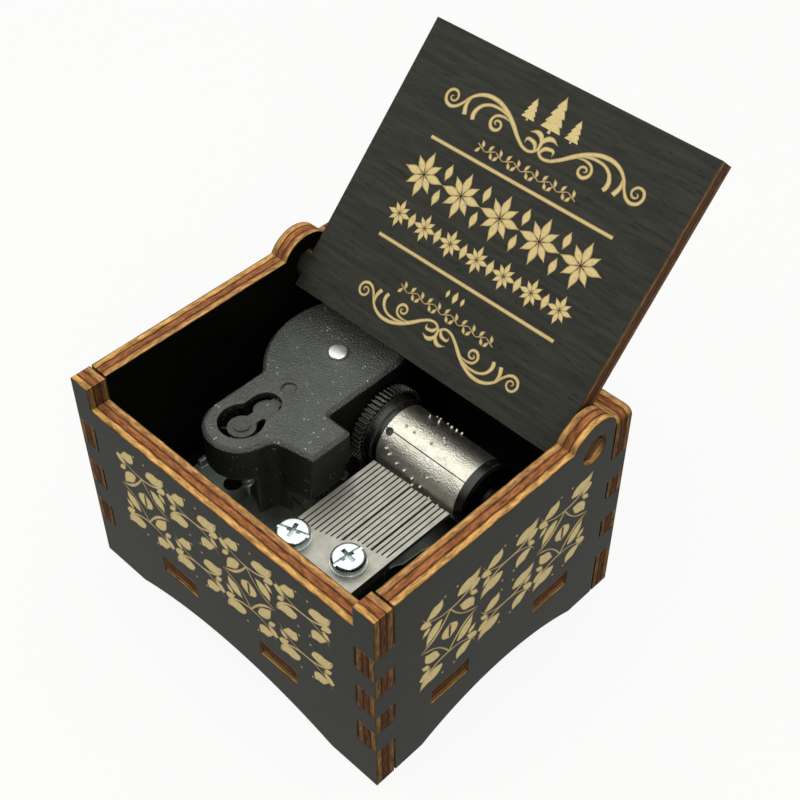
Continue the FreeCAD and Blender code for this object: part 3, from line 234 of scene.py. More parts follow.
# %% Helpers for groups and materials
def shader_group(name, inputs, outputs):
    """An empty node group with named float, vector or colour sockets."""
    kinds = {"float": "NodeSocketFloat", "vector": "NodeSocketVector", "colour": "NodeSocketColor"}
    group = bpy.data.node_groups.new(name, "ShaderNodeTree")
    for direction, sockets in (("INPUT", inputs), ("OUTPUT", outputs)):
        for label, kind in sockets:
            group.interface.new_socket(name=label, in_out=direction, socket_type=kinds[kind])
    return group, group.nodes.new("NodeGroupInput"), group.nodes.new("NodeGroupOutput")


def use_group(tree, group, **values):
    """Place a group in a tree, with values or sockets for its inputs."""
    node = tree.nodes.new("ShaderNodeGroup")
    node.node_tree = group
    for label, value in values.items():
        join(tree, value, node.inputs[label])
    return node.outputs


def mixed(tree, share, first, second):
    """Two shaders mixed by a share of the second."""
    node = tree.nodes.new("ShaderNodeMixShader")
    for value, socket in zip((share, first, second), node.inputs):
        join(tree, value, socket)
    return node.outputs[0]


def sees_background(tree):
    """1 for rays that show the white background: the camera's, and those by way of metal or glass."""
    rays = tree.nodes.new("ShaderNodeLightPath")
    direct = arithmetic(tree, "ADD", rays.outputs["Is Camera Ray"], rays.outputs["Is Glossy Ray"], clamp=True)
    return arithmetic(tree, "ADD", direct, rays.outputs["Is Transmission Ray"], clamp=True)


def new_material(name, roughness, metallic=0.0, specular=0.5):
    """A material with its Principled shader set for a plain surface, ready for its pattern."""
    material = bpy.data.materials.new(name)
    material.use_nodes = True
    shader = material.node_tree.nodes["Principled BSDF"]
    shader.inputs["Roughness"].default_value = roughness
    shader.inputs["Metallic"].default_value = metallic
    shader.inputs["Specular IOR Level"].default_value = specular
    return material, material.node_tree, shader


def pick(*pieces):
    """Select just these pieces, the first as the active one."""
    bpy.ops.object.select_all(action="DESELECT")
    for piece in pieces:
        piece.select_set(True)
    if pieces:
        bpy.context.view_layer.objects.active = pieces[0]


def dress(material, *names):
    """Give CAD nodes a material in place of their plain one."""
    for name in names:
        nodes[name].data.materials.clear()
        nodes[name].data.materials.append(material)


# %% [markdown]
# ## Floor and light
#
# The object stands on plain pale paper. Studio paper looks white in a photograph because it is lit from all
# round. Brighter lamps would do that too, but they would bleach the object. So only the rays that come from
# the camera, or by way of metal or glass, see white mixed into the floor, and the paper keeps its shadows.
# From below the paper is clear, so that the underside can be looked at. It lies a hair below the feet.

# %% Floor
FLOOR_SIZE, FLOOR_DROP = 4, 0.02 * MM
PAPER_GREY, WHITE_SHARE = 0.55, 0.9
pick()
bpy.ops.mesh.primitive_plane_add(size=FLOOR_SIZE, location=(0, 0, -FLOOR_DROP))
floor = bpy.context.object
floor.name = "floor"
floor_paper, tree, paper = new_material("floor_paper", 0.8)
paper.inputs["Base Color"].default_value = (PAPER_GREY, PAPER_GREY, PAPER_GREY, 1)
white = tree.nodes.new("ShaderNodeEmission").outputs[0]
clear = tree.nodes.new("ShaderNodeBsdfTransparent").outputs[0]
from_below = tree.nodes.new("ShaderNodeNewGeometry").outputs["Backfacing"]
lit = mixed(tree, times(tree, sees_background(tree), WHITE_SHARE), paper.outputs[0], white)
join(tree, mixed(tree, from_below, lit, clear), tree.nodes["Material Output"].inputs[0])
floor.data.materials.append(floor_paper)
print("floor", FLOOR_SIZE, "m wide")

# %% [markdown]
# The world beyond the floor does two jobs. To the rays that show the background it is plain white, and to
# all others it is a dim room that fills the shadows. Three square lamps give the light its direction: a large
# one overhead, which the tube mirrors as a broad soft band, one by the camera, and a faint one on the left.
# All are slightly warm, as the photograph is. Small lamps would leave hard spots on the plated tube.

# %% World
world = bpy.data.worlds.new("studio")
bpy.context.scene.world = world
world.use_nodes = True
tree = world.node_tree
room = tree.nodes["Background"]
ROOM_TINT, ROOM_LIGHT = (1.0, 1.0, 0.91, 1), 0.5
room.inputs["Color"].default_value = ROOM_TINT
room.inputs["Strength"].default_value = ROOM_LIGHT
white = tree.nodes.new("ShaderNodeBackground").outputs[0]
sky = mixed(tree, sees_background(tree), room.outputs[0], white)
join(tree, sky, tree.nodes["World Output"].inputs[0])
bpy.context.scene.view_settings.view_transform = "Standard"
print("world:", world.name, "with a room light of", ROOM_LIGHT)

# %% [markdown]
# A square lamp is called an area light in Blender. It shines along its own -Z, so it is turned until that
# axis points at the case. The larger it is, the softer its shadows and its reflections are.

# %% Lamps
LAMP_TINT, LAMP_AIM = (1.0, 1.0, 0.90), Vector((0, 0, 0.03))


def soft_box(name, place, size, power):
    """A square lamp at a place seen from the middle of the case, which it faces. In metres and watts."""
    data = bpy.data.lights.new(name, "AREA")
    data.size = size
    data.energy = power
    data.color = LAMP_TINT
    lamp = bpy.data.objects.new(name, data)
    lamp.location = Vector(place) + to_case
    aim = LAMP_AIM + to_case - lamp.location
    lamp.rotation_euler = aim.to_track_quat("-Z", "Y").to_euler()
    bpy.context.scene.collection.objects.link(lamp)
    print(name, power, "W")


soft_box("overhead_box", (-0.05, 0.06, 0.55), 0.78, 2.8)
soft_box("camera_side_box", (0.40, -0.30, 0.40), 0.30, 1.5)
soft_box("left_fill", (-0.34, -0.34, 0.40), 0.40, 0.75)

# %% [markdown]
# ## Effects that several finishes share
#
# Wear, grain and speckle turn up again and again, so each is a node group that is built once. Worn edges
# could be painted by hand, but a mask that finds them works on any piece. The edge group compares the true
# normal with one that the Bevel node has rounded: they differ only near a sharp edge, so the difference is a
# mask for rubbed and scorched edges, and for edges that get a painted highlight. It also puts out the rounded
# normal, which lets the corners of plain solids catch the light as real, slightly soft corners do.

# %% Worn edges and painted edge highlights
edge_wear_and_highlight, inside, outside = shader_group(
    "edge_wear_and_highlight", [("Radius", "float")], [("Edge", "float"), ("Normal", "vector")])
rounded = edge_wear_and_highlight.nodes.new("ShaderNodeBevel")
rounded.samples = 6
geometry = edge_wear_and_highlight.nodes.new("ShaderNodeNewGeometry")
alike = edge_wear_and_highlight.nodes.new("ShaderNodeVectorMath")
alike.operation = "DOT_PRODUCT"
join(edge_wear_and_highlight, inside.outputs["Radius"], rounded.inputs["Radius"])
join(edge_wear_and_highlight, rounded.outputs[0], alike.inputs[0])
join(edge_wear_and_highlight, geometry.outputs["True Normal"], alike.inputs[1])
join(edge_wear_and_highlight, span(edge_wear_and_highlight, alike.outputs["Value"], 0.99, 0.75), outside.inputs["Edge"])
join(edge_wear_and_highlight, rounded.outputs[0], outside.inputs["Normal"])

# %% [markdown]
# A fine moulding texture is a field of tiny bumps. Noise makes the bumps. The glints on them are painted
# highlights: the middles of Voronoi cells, where the random colour that each cell has chooses the few that
# are painted pale.

# %% Grain and painted glints of a fine moulding texture
grain_and_glints, inside, outside = shader_group(
    "grain_and_glints", [("Place", "vector"), ("Scale", "float")], [("Grain", "float"), ("Spark", "float")])
GLINT_SHARE = 0.14
grain = grain_and_glints.nodes.new("ShaderNodeTexNoise")
grain.inputs["Detail"].default_value = 3
join(grain_and_glints, inside.outputs["Place"], grain.inputs["Vector"])
join(grain_and_glints, inside.outputs["Scale"], grain.inputs["Scale"])
cells = grain_and_glints.nodes.new("ShaderNodeTexVoronoi")
join(grain_and_glints, inside.outputs["Place"], cells.inputs["Vector"])
join(grain_and_glints, times(grain_and_glints, inside.outputs["Scale"], 0.5), cells.inputs["Scale"])
join(grain_and_glints, span(grain_and_glints, grain.outputs["Fac"], 0.3, 0.7), outside.inputs["Grain"])
# The Spark mask says where glints are painted.
near = span(grain_and_glints, cells.outputs["Distance"], 0.30, 0.12)
rare = grain_and_glints.nodes.new("ShaderNodeSeparateColor")
join(grain_and_glints, cells.outputs["Color"], rare.inputs[0])
chosen = arithmetic(grain_and_glints, "GREATER_THAN", rare.outputs[0], 1 - GLINT_SHARE)
join(grain_and_glints, times(grain_and_glints, near, chosen), outside.inputs["Spark"])

# %% [markdown]
# Grinding and drawing leave fine parallel lines in metal. Noise turns into lines when the place that it
# reads is scaled down along one axis, and each metal says how its lines run. A cast metal has none, so its
# place is left as it is.

# %% Streaks of a brushed or ground metal
brushed, inside, outside = shader_group(
    "brushed", [("Place", "vector"), ("Along", "vector")], [("Streak", "float")])
stretched = brushed.nodes.new("ShaderNodeVectorMath")
stretched.operation = "MULTIPLY"
join(brushed, inside.outputs["Place"], stretched.inputs[0])
join(brushed, inside.outputs["Along"], stretched.inputs[1])
fine = noise(brushed, stretched.outputs[0], 1.0, detail=3, roughness=0.6)
join(brushed, span(brushed, fine, 0.3, 0.7), outside.inputs["Streak"])
print("shared effects:", ", ".join(group.name for group in (edge_wear_and_highlight, grain_and_glints, brushed)))

# %% [markdown]
# ## Painted plywood
#
# Every panel is laser cut from one painted sheet. Its two faces are black stain over a faint wood grain.
# Its cut edges show three plies and the dark glue lines between them, scorched by the laser in uneven
# browns, and painted light makes the edges that look up palest and those that face sideways darker.
# Inside the case the faces get painted shade, almost black. It could be done by unwrapping each panel and
# painting an image for it, but an image that is wrapped round a thick panel would slip at every corner,
# so one group draws all of this in a panel's own frame, where Z is the way through the sheet. Each panel
# then needs only a Mapping node that turns it flat. The normal, turned in the same way, tells faces from
# edges.

# %% Plywood group
plywood, inside, outside = shader_group(
    "plywood",
    [("Place", "vector"), ("Facing", "vector"), ("Start", "float"), ("Thickness", "float"),
     ("Edge", "float"), ("Upward", "float"), ("Shaded", "float")],
    [("Colour", "colour"), ("Roughness", "float"), ("Height", "float"), ("Inner", "float")])
place = inside.outputs["Place"]
facing = parts(plywood, inside.outputs["Facing"])[2]
is_face = arithmetic(plywood, "GREATER_THAN", arithmetic(plywood, "ABSOLUTE", facing), 0.6)

waver = arithmetic(plywood, "SUBTRACT", noise(plywood, place, 0.35, (1, 1, 0.2)), 0.5)
depth = arithmetic(plywood, "SUBTRACT", parts(plywood, place)[2], inside.outputs["Start"])
through = arithmetic(plywood, "DIVIDE", depth, inside.outputs["Thickness"])
through = arithmetic(plywood, "ADD", through, times(plywood, waver, 0.10))
GOLD, TAN = (0.52, 0.28, 0.095), (0.27, 0.125, 0.058)
BROWN, GLUE, CHAR = (0.27, 0.100, 0.038), (0.09, 0.035, 0.015), (0.03, 0.02, 0.01)
plies = ramp(plywood, through, [
    (0.00, CHAR), (0.035, GOLD), (0.25, GOLD), (0.315, GLUE), (0.35, GLUE), (0.39, BROWN),
    (0.60, BROWN), (0.645, GLUE), (0.68, GLUE), (0.72, TAN), (0.955, GOLD), (1.00, CHAR)])
scorch = noise(plywood, place, 1.5, (0.30, 0.30, 1.2), detail=5, roughness=0.7)
fibres = noise(plywood, place, 3.6, (0.16, 0.16, 1), detail=3)
scorch_and_top_light = times(plywood, span(plywood, scorch, 0.36, 0.62, 0.42, 1.14),
              span(plywood, fibres, 0.35, 0.65, 0.68, 1.15))
# Painted light: cut edges that look up are made paler, and those that face sideways darker.
scorch_and_top_light = times(plywood, scorch_and_top_light, span(plywood, inside.outputs["Upward"], 0.2, 0.9, 0.34, 1.14))
cut_edge = blended(plywood, 1.0, plies, scorch_and_top_light, "MULTIPLY")
from_middle = arithmetic(plywood, "ABSOLUTE", arithmetic(plywood, "SUBTRACT", through, 0.5))
rim = span(plywood, from_middle, 0.40, 0.50)
rim = times(plywood, rim, span(plywood, fibres, 0.35, 0.6, 0.3, 1.0))
cut_edge = blended(plywood, times(plywood, rim, 0.8), cut_edge, (0.035, 0.020, 0.010))

# %% [markdown]
# The stain has soaked into the wood, so it shows the grain as a slow change from black to almost black, with
# darker pores. Sharp edges are scuffed to brown in places. The last lines choose between edge and face.

# %% Stain of the faces
stain_grain = noise(plywood, place, 1.2, (0.10, 1, 1), detail=4, roughness=0.6, distortion=0.4)
pores = noise(plywood, place, 3.4, (0.13, 1, 1), detail=2)
pore_mask = span(plywood, pores, 0.66, 0.74)
stain = ramp(plywood, stain_grain, [(0.30, (0.0060, 0.0062, 0.0050)), (0.70, (0.0235, 0.0240, 0.0178))])
stain = blended(plywood, pore_mask, stain, (0.004, 0.004, 0.003))
scuffs = times(plywood, inside.outputs["Edge"], span(plywood, scorch, 0.42, 0.62))
stain = blended(plywood, times(plywood, scuffs, 0.75), stain, (0.14, 0.075, 0.03))
# Painted shade: faces on the inner side of a shaded panel are stained almost black, and the mask goes out as
# Inner.
inner = times(plywood, is_face, arithmetic(plywood, "GREATER_THAN", through, 0.5))
inner = times(plywood, inner, inside.outputs["Shaded"])
stain = blended(plywood, times(plywood, inner, 0.8), stain, (0.0015, 0.0015, 0.0012))
join(plywood, inner, outside.inputs["Inner"])

join(plywood, blended(plywood, is_face, cut_edge, stain), outside.inputs["Colour"])
face_sheen = span(plywood, stain_grain, 0.2, 0.8, 0.42, 0.56)
rough = blended(plywood, is_face, (0.88, 0.88, 0.88), face_sheen)
join(plywood, rough, outside.inputs["Roughness"])
edge_height = span(plywood, fibres, 0.3, 0.7)
face_height = arithmetic(plywood, "SUBTRACT", times(plywood, stain_grain, 0.35), pore_mask)
join(plywood, blended(plywood, is_face, edge_height, face_height), outside.inputs["Height"])
print("plywood group:", len(plywood.nodes), "nodes")


# %% [markdown]
# One Mapping node turns the place, in millimetres, and a second turns the normal in the same way. The lid
# needs one thing more: it stands open, so its place is measured from the hinge and swung shut. Painted shade
# darkens the black faces inside the case, and they should hardly shine. The shader's own specular level is
# one number for the whole material, so a mask takes the sheen away through Metallic, as more painted shade:
# an almost black metal reflects almost nothing.

# %% Panel materials
INSIDE_SHADE_SHARE = 0.8


def panel_material(name, turn, start, thickness, centre=(0, 0, 0), shaded=1.0, specular=0.09):
    """Painted plywood for one panel. turn lays it flat, with its grain along X and its inner face up."""
    material, tree, shader = new_material(name, 0.5, specular=specular)
    away = tree.nodes.new("ShaderNodeVectorMath")
    away.operation = "SUBTRACT"
    away.inputs[1].default_value = centre
    join(tree, place_in_mm(tree), away.inputs[0])
    laid = turned(tree, away.outputs[0], turn)
    faced = turned(tree, tree.nodes.new("ShaderNodeTexCoord").outputs["Normal"], turn)
    edge = use_group(tree, edge_wear_and_highlight, Radius=0.25 * MM)
    sheet = use_group(tree, plywood, Place=laid, Facing=faced, Start=start,
                      Thickness=thickness, Edge=edge["Edge"], Upward=upward(tree), Shaded=shaded)
    join(tree, sheet["Colour"], shader.inputs["Base Color"])
    join(tree, sheet["Roughness"], shader.inputs["Roughness"])
    # Painted shade: the Inner mask gives the inside faces Metallic, which takes their sheen away.
    join(tree, times(tree, sheet["Inner"], INSIDE_SHADE_SHARE), shader.inputs["Metallic"])
    join(tree, bump(tree, sheet["Height"], 0.08, 0.7, edge["Normal"]), shader.inputs["Normal"])
    return material


front_low, front_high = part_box("front_panel")
back_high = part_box("back_panel")[1]
left_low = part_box("left_side")[0]
right_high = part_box("right_side")[1]
bottom_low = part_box("bottom_panel")[0]
ply = (front_high.y - front_low.y) / MM
hinge = Vector(joints["lid_hinge"]["pos_m"]) / MM
lid_turn = math.radians(joints["lid_hinge"]["range_deg"][1])
dress(panel_material("front_ply", (quarter, 0, 0), front_low.y / MM, ply), "front_panel")
dress(panel_material("back_ply", (-quarter, 0, 0), -back_high.y / MM, ply), "back_panel")
dress(panel_material("left_ply", (0, -quarter, quarter), left_low.x / MM, ply), "left_side")
dress(panel_material("right_ply", (0, quarter, quarter), -right_high.x / MM, ply), "right_side")
dress(panel_material("bottom_ply", (0, 0, 0), bottom_low.z / MM, ply), "bottom_panel")
dress(panel_material("lid_ply", (lid_turn, 0, 0), -ply / 2, ply, hinge, shaded=0.0, specular=0.165), "lid")
print(f"plywood {ply:.1f} mm thick, lid turned {math.degrees(lid_turn):.1f} degrees")

# %% [markdown]
# ## Black mouldings and bright metal
#
# The cover is moulded with a fine texture whose bright flecks are painted glints. Its top is paler, partly
# from a film of dust and partly from painted light, and the gears are smooth. Dust could be scattered as tiny
# grains, but that would cost a mesh far larger than the music box. Here the upward part of the normal says
# where the dust and the painted light lie, and noise makes them uneven. The upright sides of a moulding get
# painted shade: Metallic takes their sheen away, as it does inside the case.


# %% Moulded plastic
DUST_AND_LIGHT, GLINT, RUB_AND_HIGHLIGHT = (0.196, 0.220, 0.208), (0.75, 0.75, 0.70), (0.45, 0.45, 0.43)


def plastic(name, colour, roughness, specular, grain_depth, corner, sparkle, edge_rub_and_highlight=0.15, dust_and_light_share=0.0):
    """Black plastic with grain, painted glints, worn and highlighted edges, a top of dust and painted light,
    painted shade on the sides.
    """
    material, tree, shader = new_material(name, roughness, specular=specular)
    place = place_in_mm(tree)
    edge = use_group(tree, edge_wear_and_highlight, Radius=corner * MM)
    grain = use_group(tree, grain_and_glints, Place=place, Scale=3.6)
    clouds = noise(tree, place, 0.25, detail=3)
    dark = tuple(0.8 * value for value in colour)
    body = blended(tree, clouds, dark, colour)
    height = upward(tree)
    # Dust and painted light: faces that look up are made paler where the noise allows.
    dust_and_light = times(tree, span(tree, height, 0.3, 0.9), span(tree, clouds, 0.30, 0.65, 0.6 * dust_and_light_share, dust_and_light_share))
    body = blended(tree, dust_and_light, body, DUST_AND_LIGHT)
    # Painted glints: the chosen cell middles are coloured almost white, where the clouds allow.
    painted_glints = times(tree, grain["Spark"], span(tree, clouds, 0.42, 0.60, 0.0, sparkle))
    body = blended(tree, painted_glints, body, GLINT)
    # Edges are lightened, partly as rubbing and partly as a painted highlight, strongest on the gear teeth.
    rub_and_highlight_mask = times(tree, edge["Edge"], span(tree, clouds, 0.35, 0.65, 0.3 * edge_rub_and_highlight, edge_rub_and_highlight))
    body = blended(tree, rub_and_highlight_mask, body, RUB_AND_HIGHLIGHT)
    join(tree, body, shader.inputs["Base Color"])
    # Painted shade: upright sides get Metallic, which takes their sheen away, while the top keeps it.
    join(tree, span(tree, height, 0.2, 0.9, 0.75, 0.0), shader.inputs["Metallic"])
    join(tree, span(tree, clouds, 0.3, 0.7, roughness - 0.06, roughness + 0.06), shader.inputs["Roughness"])
    join(tree, bump(tree, grain["Grain"], grain_depth, 0.7, edge["Normal"]), shader.inputs["Normal"])
    return material


cover_plastic = plastic("cover_plastic", (0.010, 0.011, 0.010), 0.36, 1.0, 0.30, 0.75, 1.0, dust_and_light_share=0.20)
arm_plastic = plastic("arm_plastic", (0.010, 0.010, 0.009), 0.38, 0.34, 0.02, 0.15, 0.2)
gear_plastic = plastic("gear_plastic", (0.008, 0.008, 0.007), 0.34, 0.42, 0.02, 0.10, 0.2, edge_rub_and_highlight=0.9)
dress(cover_plastic, "movement_cover")
dress(arm_plastic, "air_fan")
dress(gear_plastic, "cylinder_gear", "cylinder_end_cap", "spring_barrel", "barrel_cover",
      "idler_gear", "governor_wheel")
print("cover, arm and gear plastic made")

# %% [markdown]
# The metal parts differ in how they were finished: the tube is plated and a little uneven, the comb is
# ground flat, and the bed is as it left the mould. Metal shows mostly what it mirrors, so its roughness and
# its bumps matter more than its colour. One function makes them all, from the same few effects.

# %% Metal
EVEN = (1.0, 1.0, 1.0)
CAUGHT_LIGHT = (0.85, 0.85, 0.82)


def metal(name, colour, roughness, along, streaks, tarnish, corner,
          cast=0.0, bright_edge=0.0, fineness=5.0):
    """Metal with streaks along a direction, dull patches, a cast grain, and edges with a painted highlight.
    """
    material, tree, shader = new_material(name, roughness, metallic=1.0)
    place = place_in_mm(tree)
    edge = use_group(tree, edge_wear_and_highlight, Radius=corner * MM)
    lines = use_group(tree, brushed, Place=place, Along=along)["Streak"]
    patches = noise(tree, place, 0.6, detail=4, roughness=0.6)
    grains = noise(tree, place, fineness, detail=2)
    dull, in_line, in_spot = (tuple(share * value for value in colour) for share in (1 - tarnish, 0.6, 0.3))
    body = blended(tree, span(tree, patches, 0.35, 0.7), colour, dull)
    body = blended(tree, span(tree, lines, 0.0, 1.0, 0.0, streaks), body, in_line)
    body = blended(tree, span(tree, grains, 0.62, 0.75, 0.0, tarnish), body, in_spot)
    # Painted highlight: sharp edges are mixed towards a pale grey, as much as bright_edge says.
    body = blended(tree, times(tree, edge["Edge"], bright_edge), body, CAUGHT_LIGHT)
    join(tree, body, shader.inputs["Base Color"])
    uneven = span(tree, patches, 0.3, 0.7, roughness - 0.05, roughness + 0.05)
    uneven = arithmetic(tree, "ADD", times(tree, lines, 0.10), uneven)
    join(tree, uneven, shader.inputs["Roughness"])
    height = arithmetic(tree, "ADD", times(tree, lines, 0.2), times(tree, grains, cast))
    join(tree, bump(tree, height, 0.02, 0.4, edge["Normal"]), shader.inputs["Normal"])
    return material


nickel = metal("nickel", (0.64, 0.61, 0.54), 0.36, EVEN, 0.20, 0.25, 0.05, cast=16.0, fineness=3.4)
comb_steel = metal("comb_steel", (0.38, 0.37, 0.335), 0.42, (6.0, 0.3, 1.0), 0.25, 0.15, 0.06)
bright_zinc = metal("bright_zinc", (0.62, 0.68, 0.69), 0.22, (2.0, 2.0, 0.3), 0.12, 0.10, 0.10)
cast_zinc = metal("cast_zinc", (0.33, 0.375, 0.34), 0.34, EVEN, 0.30, 0.35, 0.30, cast=1.0, bright_edge=1.0)
polished_zinc = metal("polished_zinc", (0.70, 0.72, 0.71), 0.30, EVEN, 0.05, 0.03, 0.10)
plain_steel = metal("plain_steel", (0.44, 0.44, 0.42), 0.36, (1.0, 4.0, 0.4), 0.30, 0.25, 0.08)
spring_blue = metal("spring_blue", (0.14, 0.17, 0.25), 0.30, (1.0, 1.0, 4.0), 0.20, 0.30, 0.03)
dull_lead = metal("dull_lead", (0.26, 0.26, 0.27), 0.55, EVEN, 0.30, 0.40, 0.08, cast=0.6)
key_plate = metal("key_plate", (0.70, 0.68, 0.64), 0.20, (0.5, 2.0, 3.0), 0.12, 0.15, 0.20)
dress(comb_steel, "comb")
dress(bright_zinc, "comb_washers")
dress(cast_zinc, "bed_plate")
dress(plain_steel, "train_bracket", "idler_pin", "cylinder_shaft", "winding_arbor", "ratchet_wheel")
dress(polished_zinc, "governor_worm")
dress(spring_blue, "mainspring", "click_spring", "comb_dampers")
dress(dull_lead, "comb_weights")
dress(key_plate, "winding_key")
print("materials:", len(bpy.data.materials))

# %% [markdown]
# ## Fine pieces of the movement
#
# Some pieces of the CAD model are plain stand-ins, so that it stays light: its pins are square and its
# screw heads flat. Each is replaced here by a finer piece in the same place. A profile could be spun round
# an axis, but a bevelled disc is shorter to write: a round blank is added, its top edge is picked out by its
# place and rounded with the bevel tool, and recesses are cut with a Boolean modifier, which is applied at
# once.

# %% Helpers for turned and cut pieces
def added(name):
    """Name the object that was just added, and put its place into its mesh."""
    piece = bpy.context.object
    piece.name = piece.data.name = name
    bpy.ops.object.transform_apply(location=True, rotation=True, scale=True)
    return piece


def disc(name, radius, low, high, rounding=0.0, sides=64, steps=6):
    """A disc about Z between two heights, with its upper edge rounded over. All in millimetres."""
    pick()
    middle = (0, 0, (low + high) / 2 * MM)
    bpy.ops.mesh.primitive_cylinder_add(
        vertices=sides, radius=radius * MM, depth=(high - low) * MM, location=middle)
    piece = added(name)
    if rounding:
        bpy.ops.object.mode_set(mode="EDIT")
        bpy.ops.mesh.select_all(action="DESELECT")
        mesh = bmesh.from_edit_mesh(piece.data)
        for edge in mesh.edges:
            edge.select_set(all(vertex.co.z > (high - 0.01) * MM for vertex in edge.verts))
        bpy.ops.mesh.bevel(offset=rounding * MM, segments=steps, affect="EDGES")
        bpy.ops.object.mode_set(mode="OBJECT")
    return piece


def wedge(size, foot, top):
    """A box with its upper face at a height, narrowed towards its foot, as a cutter."""
    pick()
    middle = (0, 0, (top - size[2] / 2) * MM)
    bpy.ops.mesh.primitive_cube_add(size=1, location=middle, scale=[side * MM for side in size])
    piece = added("wedge")
    for vertex in piece.data.vertices:
        if vertex.co.z < middle[2]:
            vertex.co.x *= foot[0]
            vertex.co.y *= foot[1]
    return piece


def cut_out(piece, cutter):
    """Cut a shape out of a piece, and remove the cutter."""
    pick(piece)
    cut = piece.modifiers.new("cut", "BOOLEAN")
    cut.operation = "DIFFERENCE"
    cut.object = cutter
    bpy.ops.object.modifier_apply(modifier=cut.name)
    bpy.data.objects.remove(cutter)


# %% [markdown]
# A piece that is made once can be used many times. A copy with a mesh of its own is moved by a matrix, and
# the copies are joined, so that each finished piece is one object with one finish.

# %% Helpers for copies and finished pieces
def copied(piece, matrix):
    """A copy of a piece with its own mesh, moved by a matrix and never inside out."""
    copy = piece.copy()
    copy.data = piece.data.copy()
    bpy.context.scene.collection.objects.link(copy)
    copy.data.transform(matrix)
    if matrix.determinant() < 0:
        copy.data.flip_normals()
    return copy


def gathered(pieces, name="strokes"):
    """One mesh object from several."""
    pick(*pieces)
    bpy.ops.object.join()
    pieces[0].name = pieces[0].data.name = name
    return pieces[0]


def discard(*pieces):
    """Remove patterns once their copies are placed."""
    for piece in pieces:
        bpy.data.objects.remove(piece)


def finish_piece(piece, material, node, angle=35):
    """Smooth a piece except at its edges, dress it, and put it in the place of a CAD node, on its body."""
    pick(piece)
    bpy.ops.object.shade_smooth_by_angle(angle=math.radians(angle))
    piece.data.materials.clear()
    piece.data.materials.append(material)
    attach(piece, nodes[node]["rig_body"])
    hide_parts(node)
    print(piece.name, len(piece.data.polygons), "faces")


def shifted(x, y, z):
    """A move in metres."""
    return Matrix.Translation((x, y, z))


def merged_copy(node, name):
    """A CAD node's mesh as an object of its own, with its loose triangles merged into whole faces."""
    piece = nodes[node].copy()
    piece.data = nodes[node].data.copy()
    piece.parent = None
    for key in list(piece.keys()):
        del piece[key]
    bpy.context.scene.collection.objects.link(piece)
    piece.name = piece.data.name = name
    pick(piece)
    bpy.ops.object.mode_set(mode="EDIT")
    bpy.ops.mesh.select_all(action="SELECT")
    bpy.ops.mesh.remove_doubles(threshold=0.001 * MM)
    bpy.ops.mesh.dissolve_limited(angle_limit=math.radians(0.5))
    bpy.ops.object.mode_set(mode="OBJECT")
    bpy.ops.mesh.customdata_custom_splitnormals_clear()
    return piece


# %% [markdown]
# The comb's screws have low domed heads with a cross recess, and one arm of the cross runs on as a shallow
# slot from rim to rim. The recess is cut with three tapered bars, because a bump would not show its depth.
# One screw is made, and the two copies are turned differently, as screws always are.

# %% Comb screws
SCREW_HEAD, SCREW_SHANK = 2.95, 1.25
FROM_CORNER = 3.05 * MM
TURNS = math.radians(20), math.radians(84)
head = disc("head", SCREW_HEAD, 0, 1.6, rounding=0.75, steps=8)
cut_out(head, wedge((3.1, 0.75, 1.2), (0.45, 0.8), 1.7))
cut_out(head, wedge((0.75, 3.1, 1.2), (0.8, 0.45), 1.7))
cut_out(head, wedge((7.0, 0.8, 0.5), (1.0, 0.7), 1.7))
shank = disc("shank", SCREW_SHANK, -4.9, 0.2, sides=32)
screw = gathered([head, shank], "screw")
low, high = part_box("comb_washers")
left = shifted(low.x + FROM_CORNER, low.y + FROM_CORNER, high.z) @ Matrix.Rotation(TURNS[0], 4, "Z")
right = shifted(high.x - FROM_CORNER, high.y - FROM_CORNER, high.z) @ Matrix.Rotation(TURNS[1], 4, "Z")
comb_screws = gathered([copied(screw, left), copied(screw, right)], "domed_comb_screws")
discard(screw)
finish_piece(comb_screws, bright_zinc, "comb_screws")

# %% [markdown]
# The rivet that closes the winding arbor has a domed head. It takes its size from the flat one that the CAD
# model has, so only the rounding is new.

# %% Rivet of the arbor
low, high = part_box("arbor_rivet")
middle = (low + high) / 2
rivet = disc("domed_rivet", (high.x - low.x) / 2 / MM, 0, (high.z - low.z) / MM, rounding=0.35, steps=8)
rivet.data.transform(shifted(middle.x, middle.y, low.z))
finish_piece(rivet, polished_zinc, "arbor_rivet")

# %% [markdown]
# The cylinder is a thin plated tube, rolled up from sheet, with a seam along it and a notch at one end of
# the seam. An open cylinder gets its wall from a Solidify modifier, which keeps both surfaces round, and the
# seam and the notch are cut out of it. They lie at an angle about the axis, where a matrix takes them.

# %% Tube of the cylinder
TUBE_RADIUS, TUBE_WALL, SEAM = 6.18, 0.45, math.radians(125)
axis = Vector(joints["cylinder_spin"]["pos_m"])
low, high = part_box("music_cylinder")
length = high.x - low.x
pick()
bpy.ops.mesh.primitive_cylinder_add(
    vertices=144, radius=TUBE_RADIUS * MM, depth=length, end_fill_type="NOTHING",
    location=((low.x + high.x) / 2, axis.y, axis.z), rotation=(0, quarter, 0))
tube = added("pinned_cylinder")
wall = tube.modifiers.new("wall", "SOLIDIFY")
wall.thickness = TUBE_WALL * MM
bpy.ops.object.modifier_apply(modifier=wall.name)
to_seam = Matrix.Translation((low.x, axis.y, axis.z)) @ Matrix.Rotation(SEAM - quarter, 4, "X")
notch = disc("notch", 0.75, TUBE_RADIUS - 2, TUBE_RADIUS + 1, sides=48)
notch.data.transform(to_seam @ shifted(0.95 * MM, -0.35 * MM, 0))
cut_out(tube, notch)
seam = wedge((2.2 * length / MM, 0.17, 2.2), (1, 1), TUBE_RADIUS + 1.06)
seam.data.transform(to_seam)
cut_out(tube, seam)
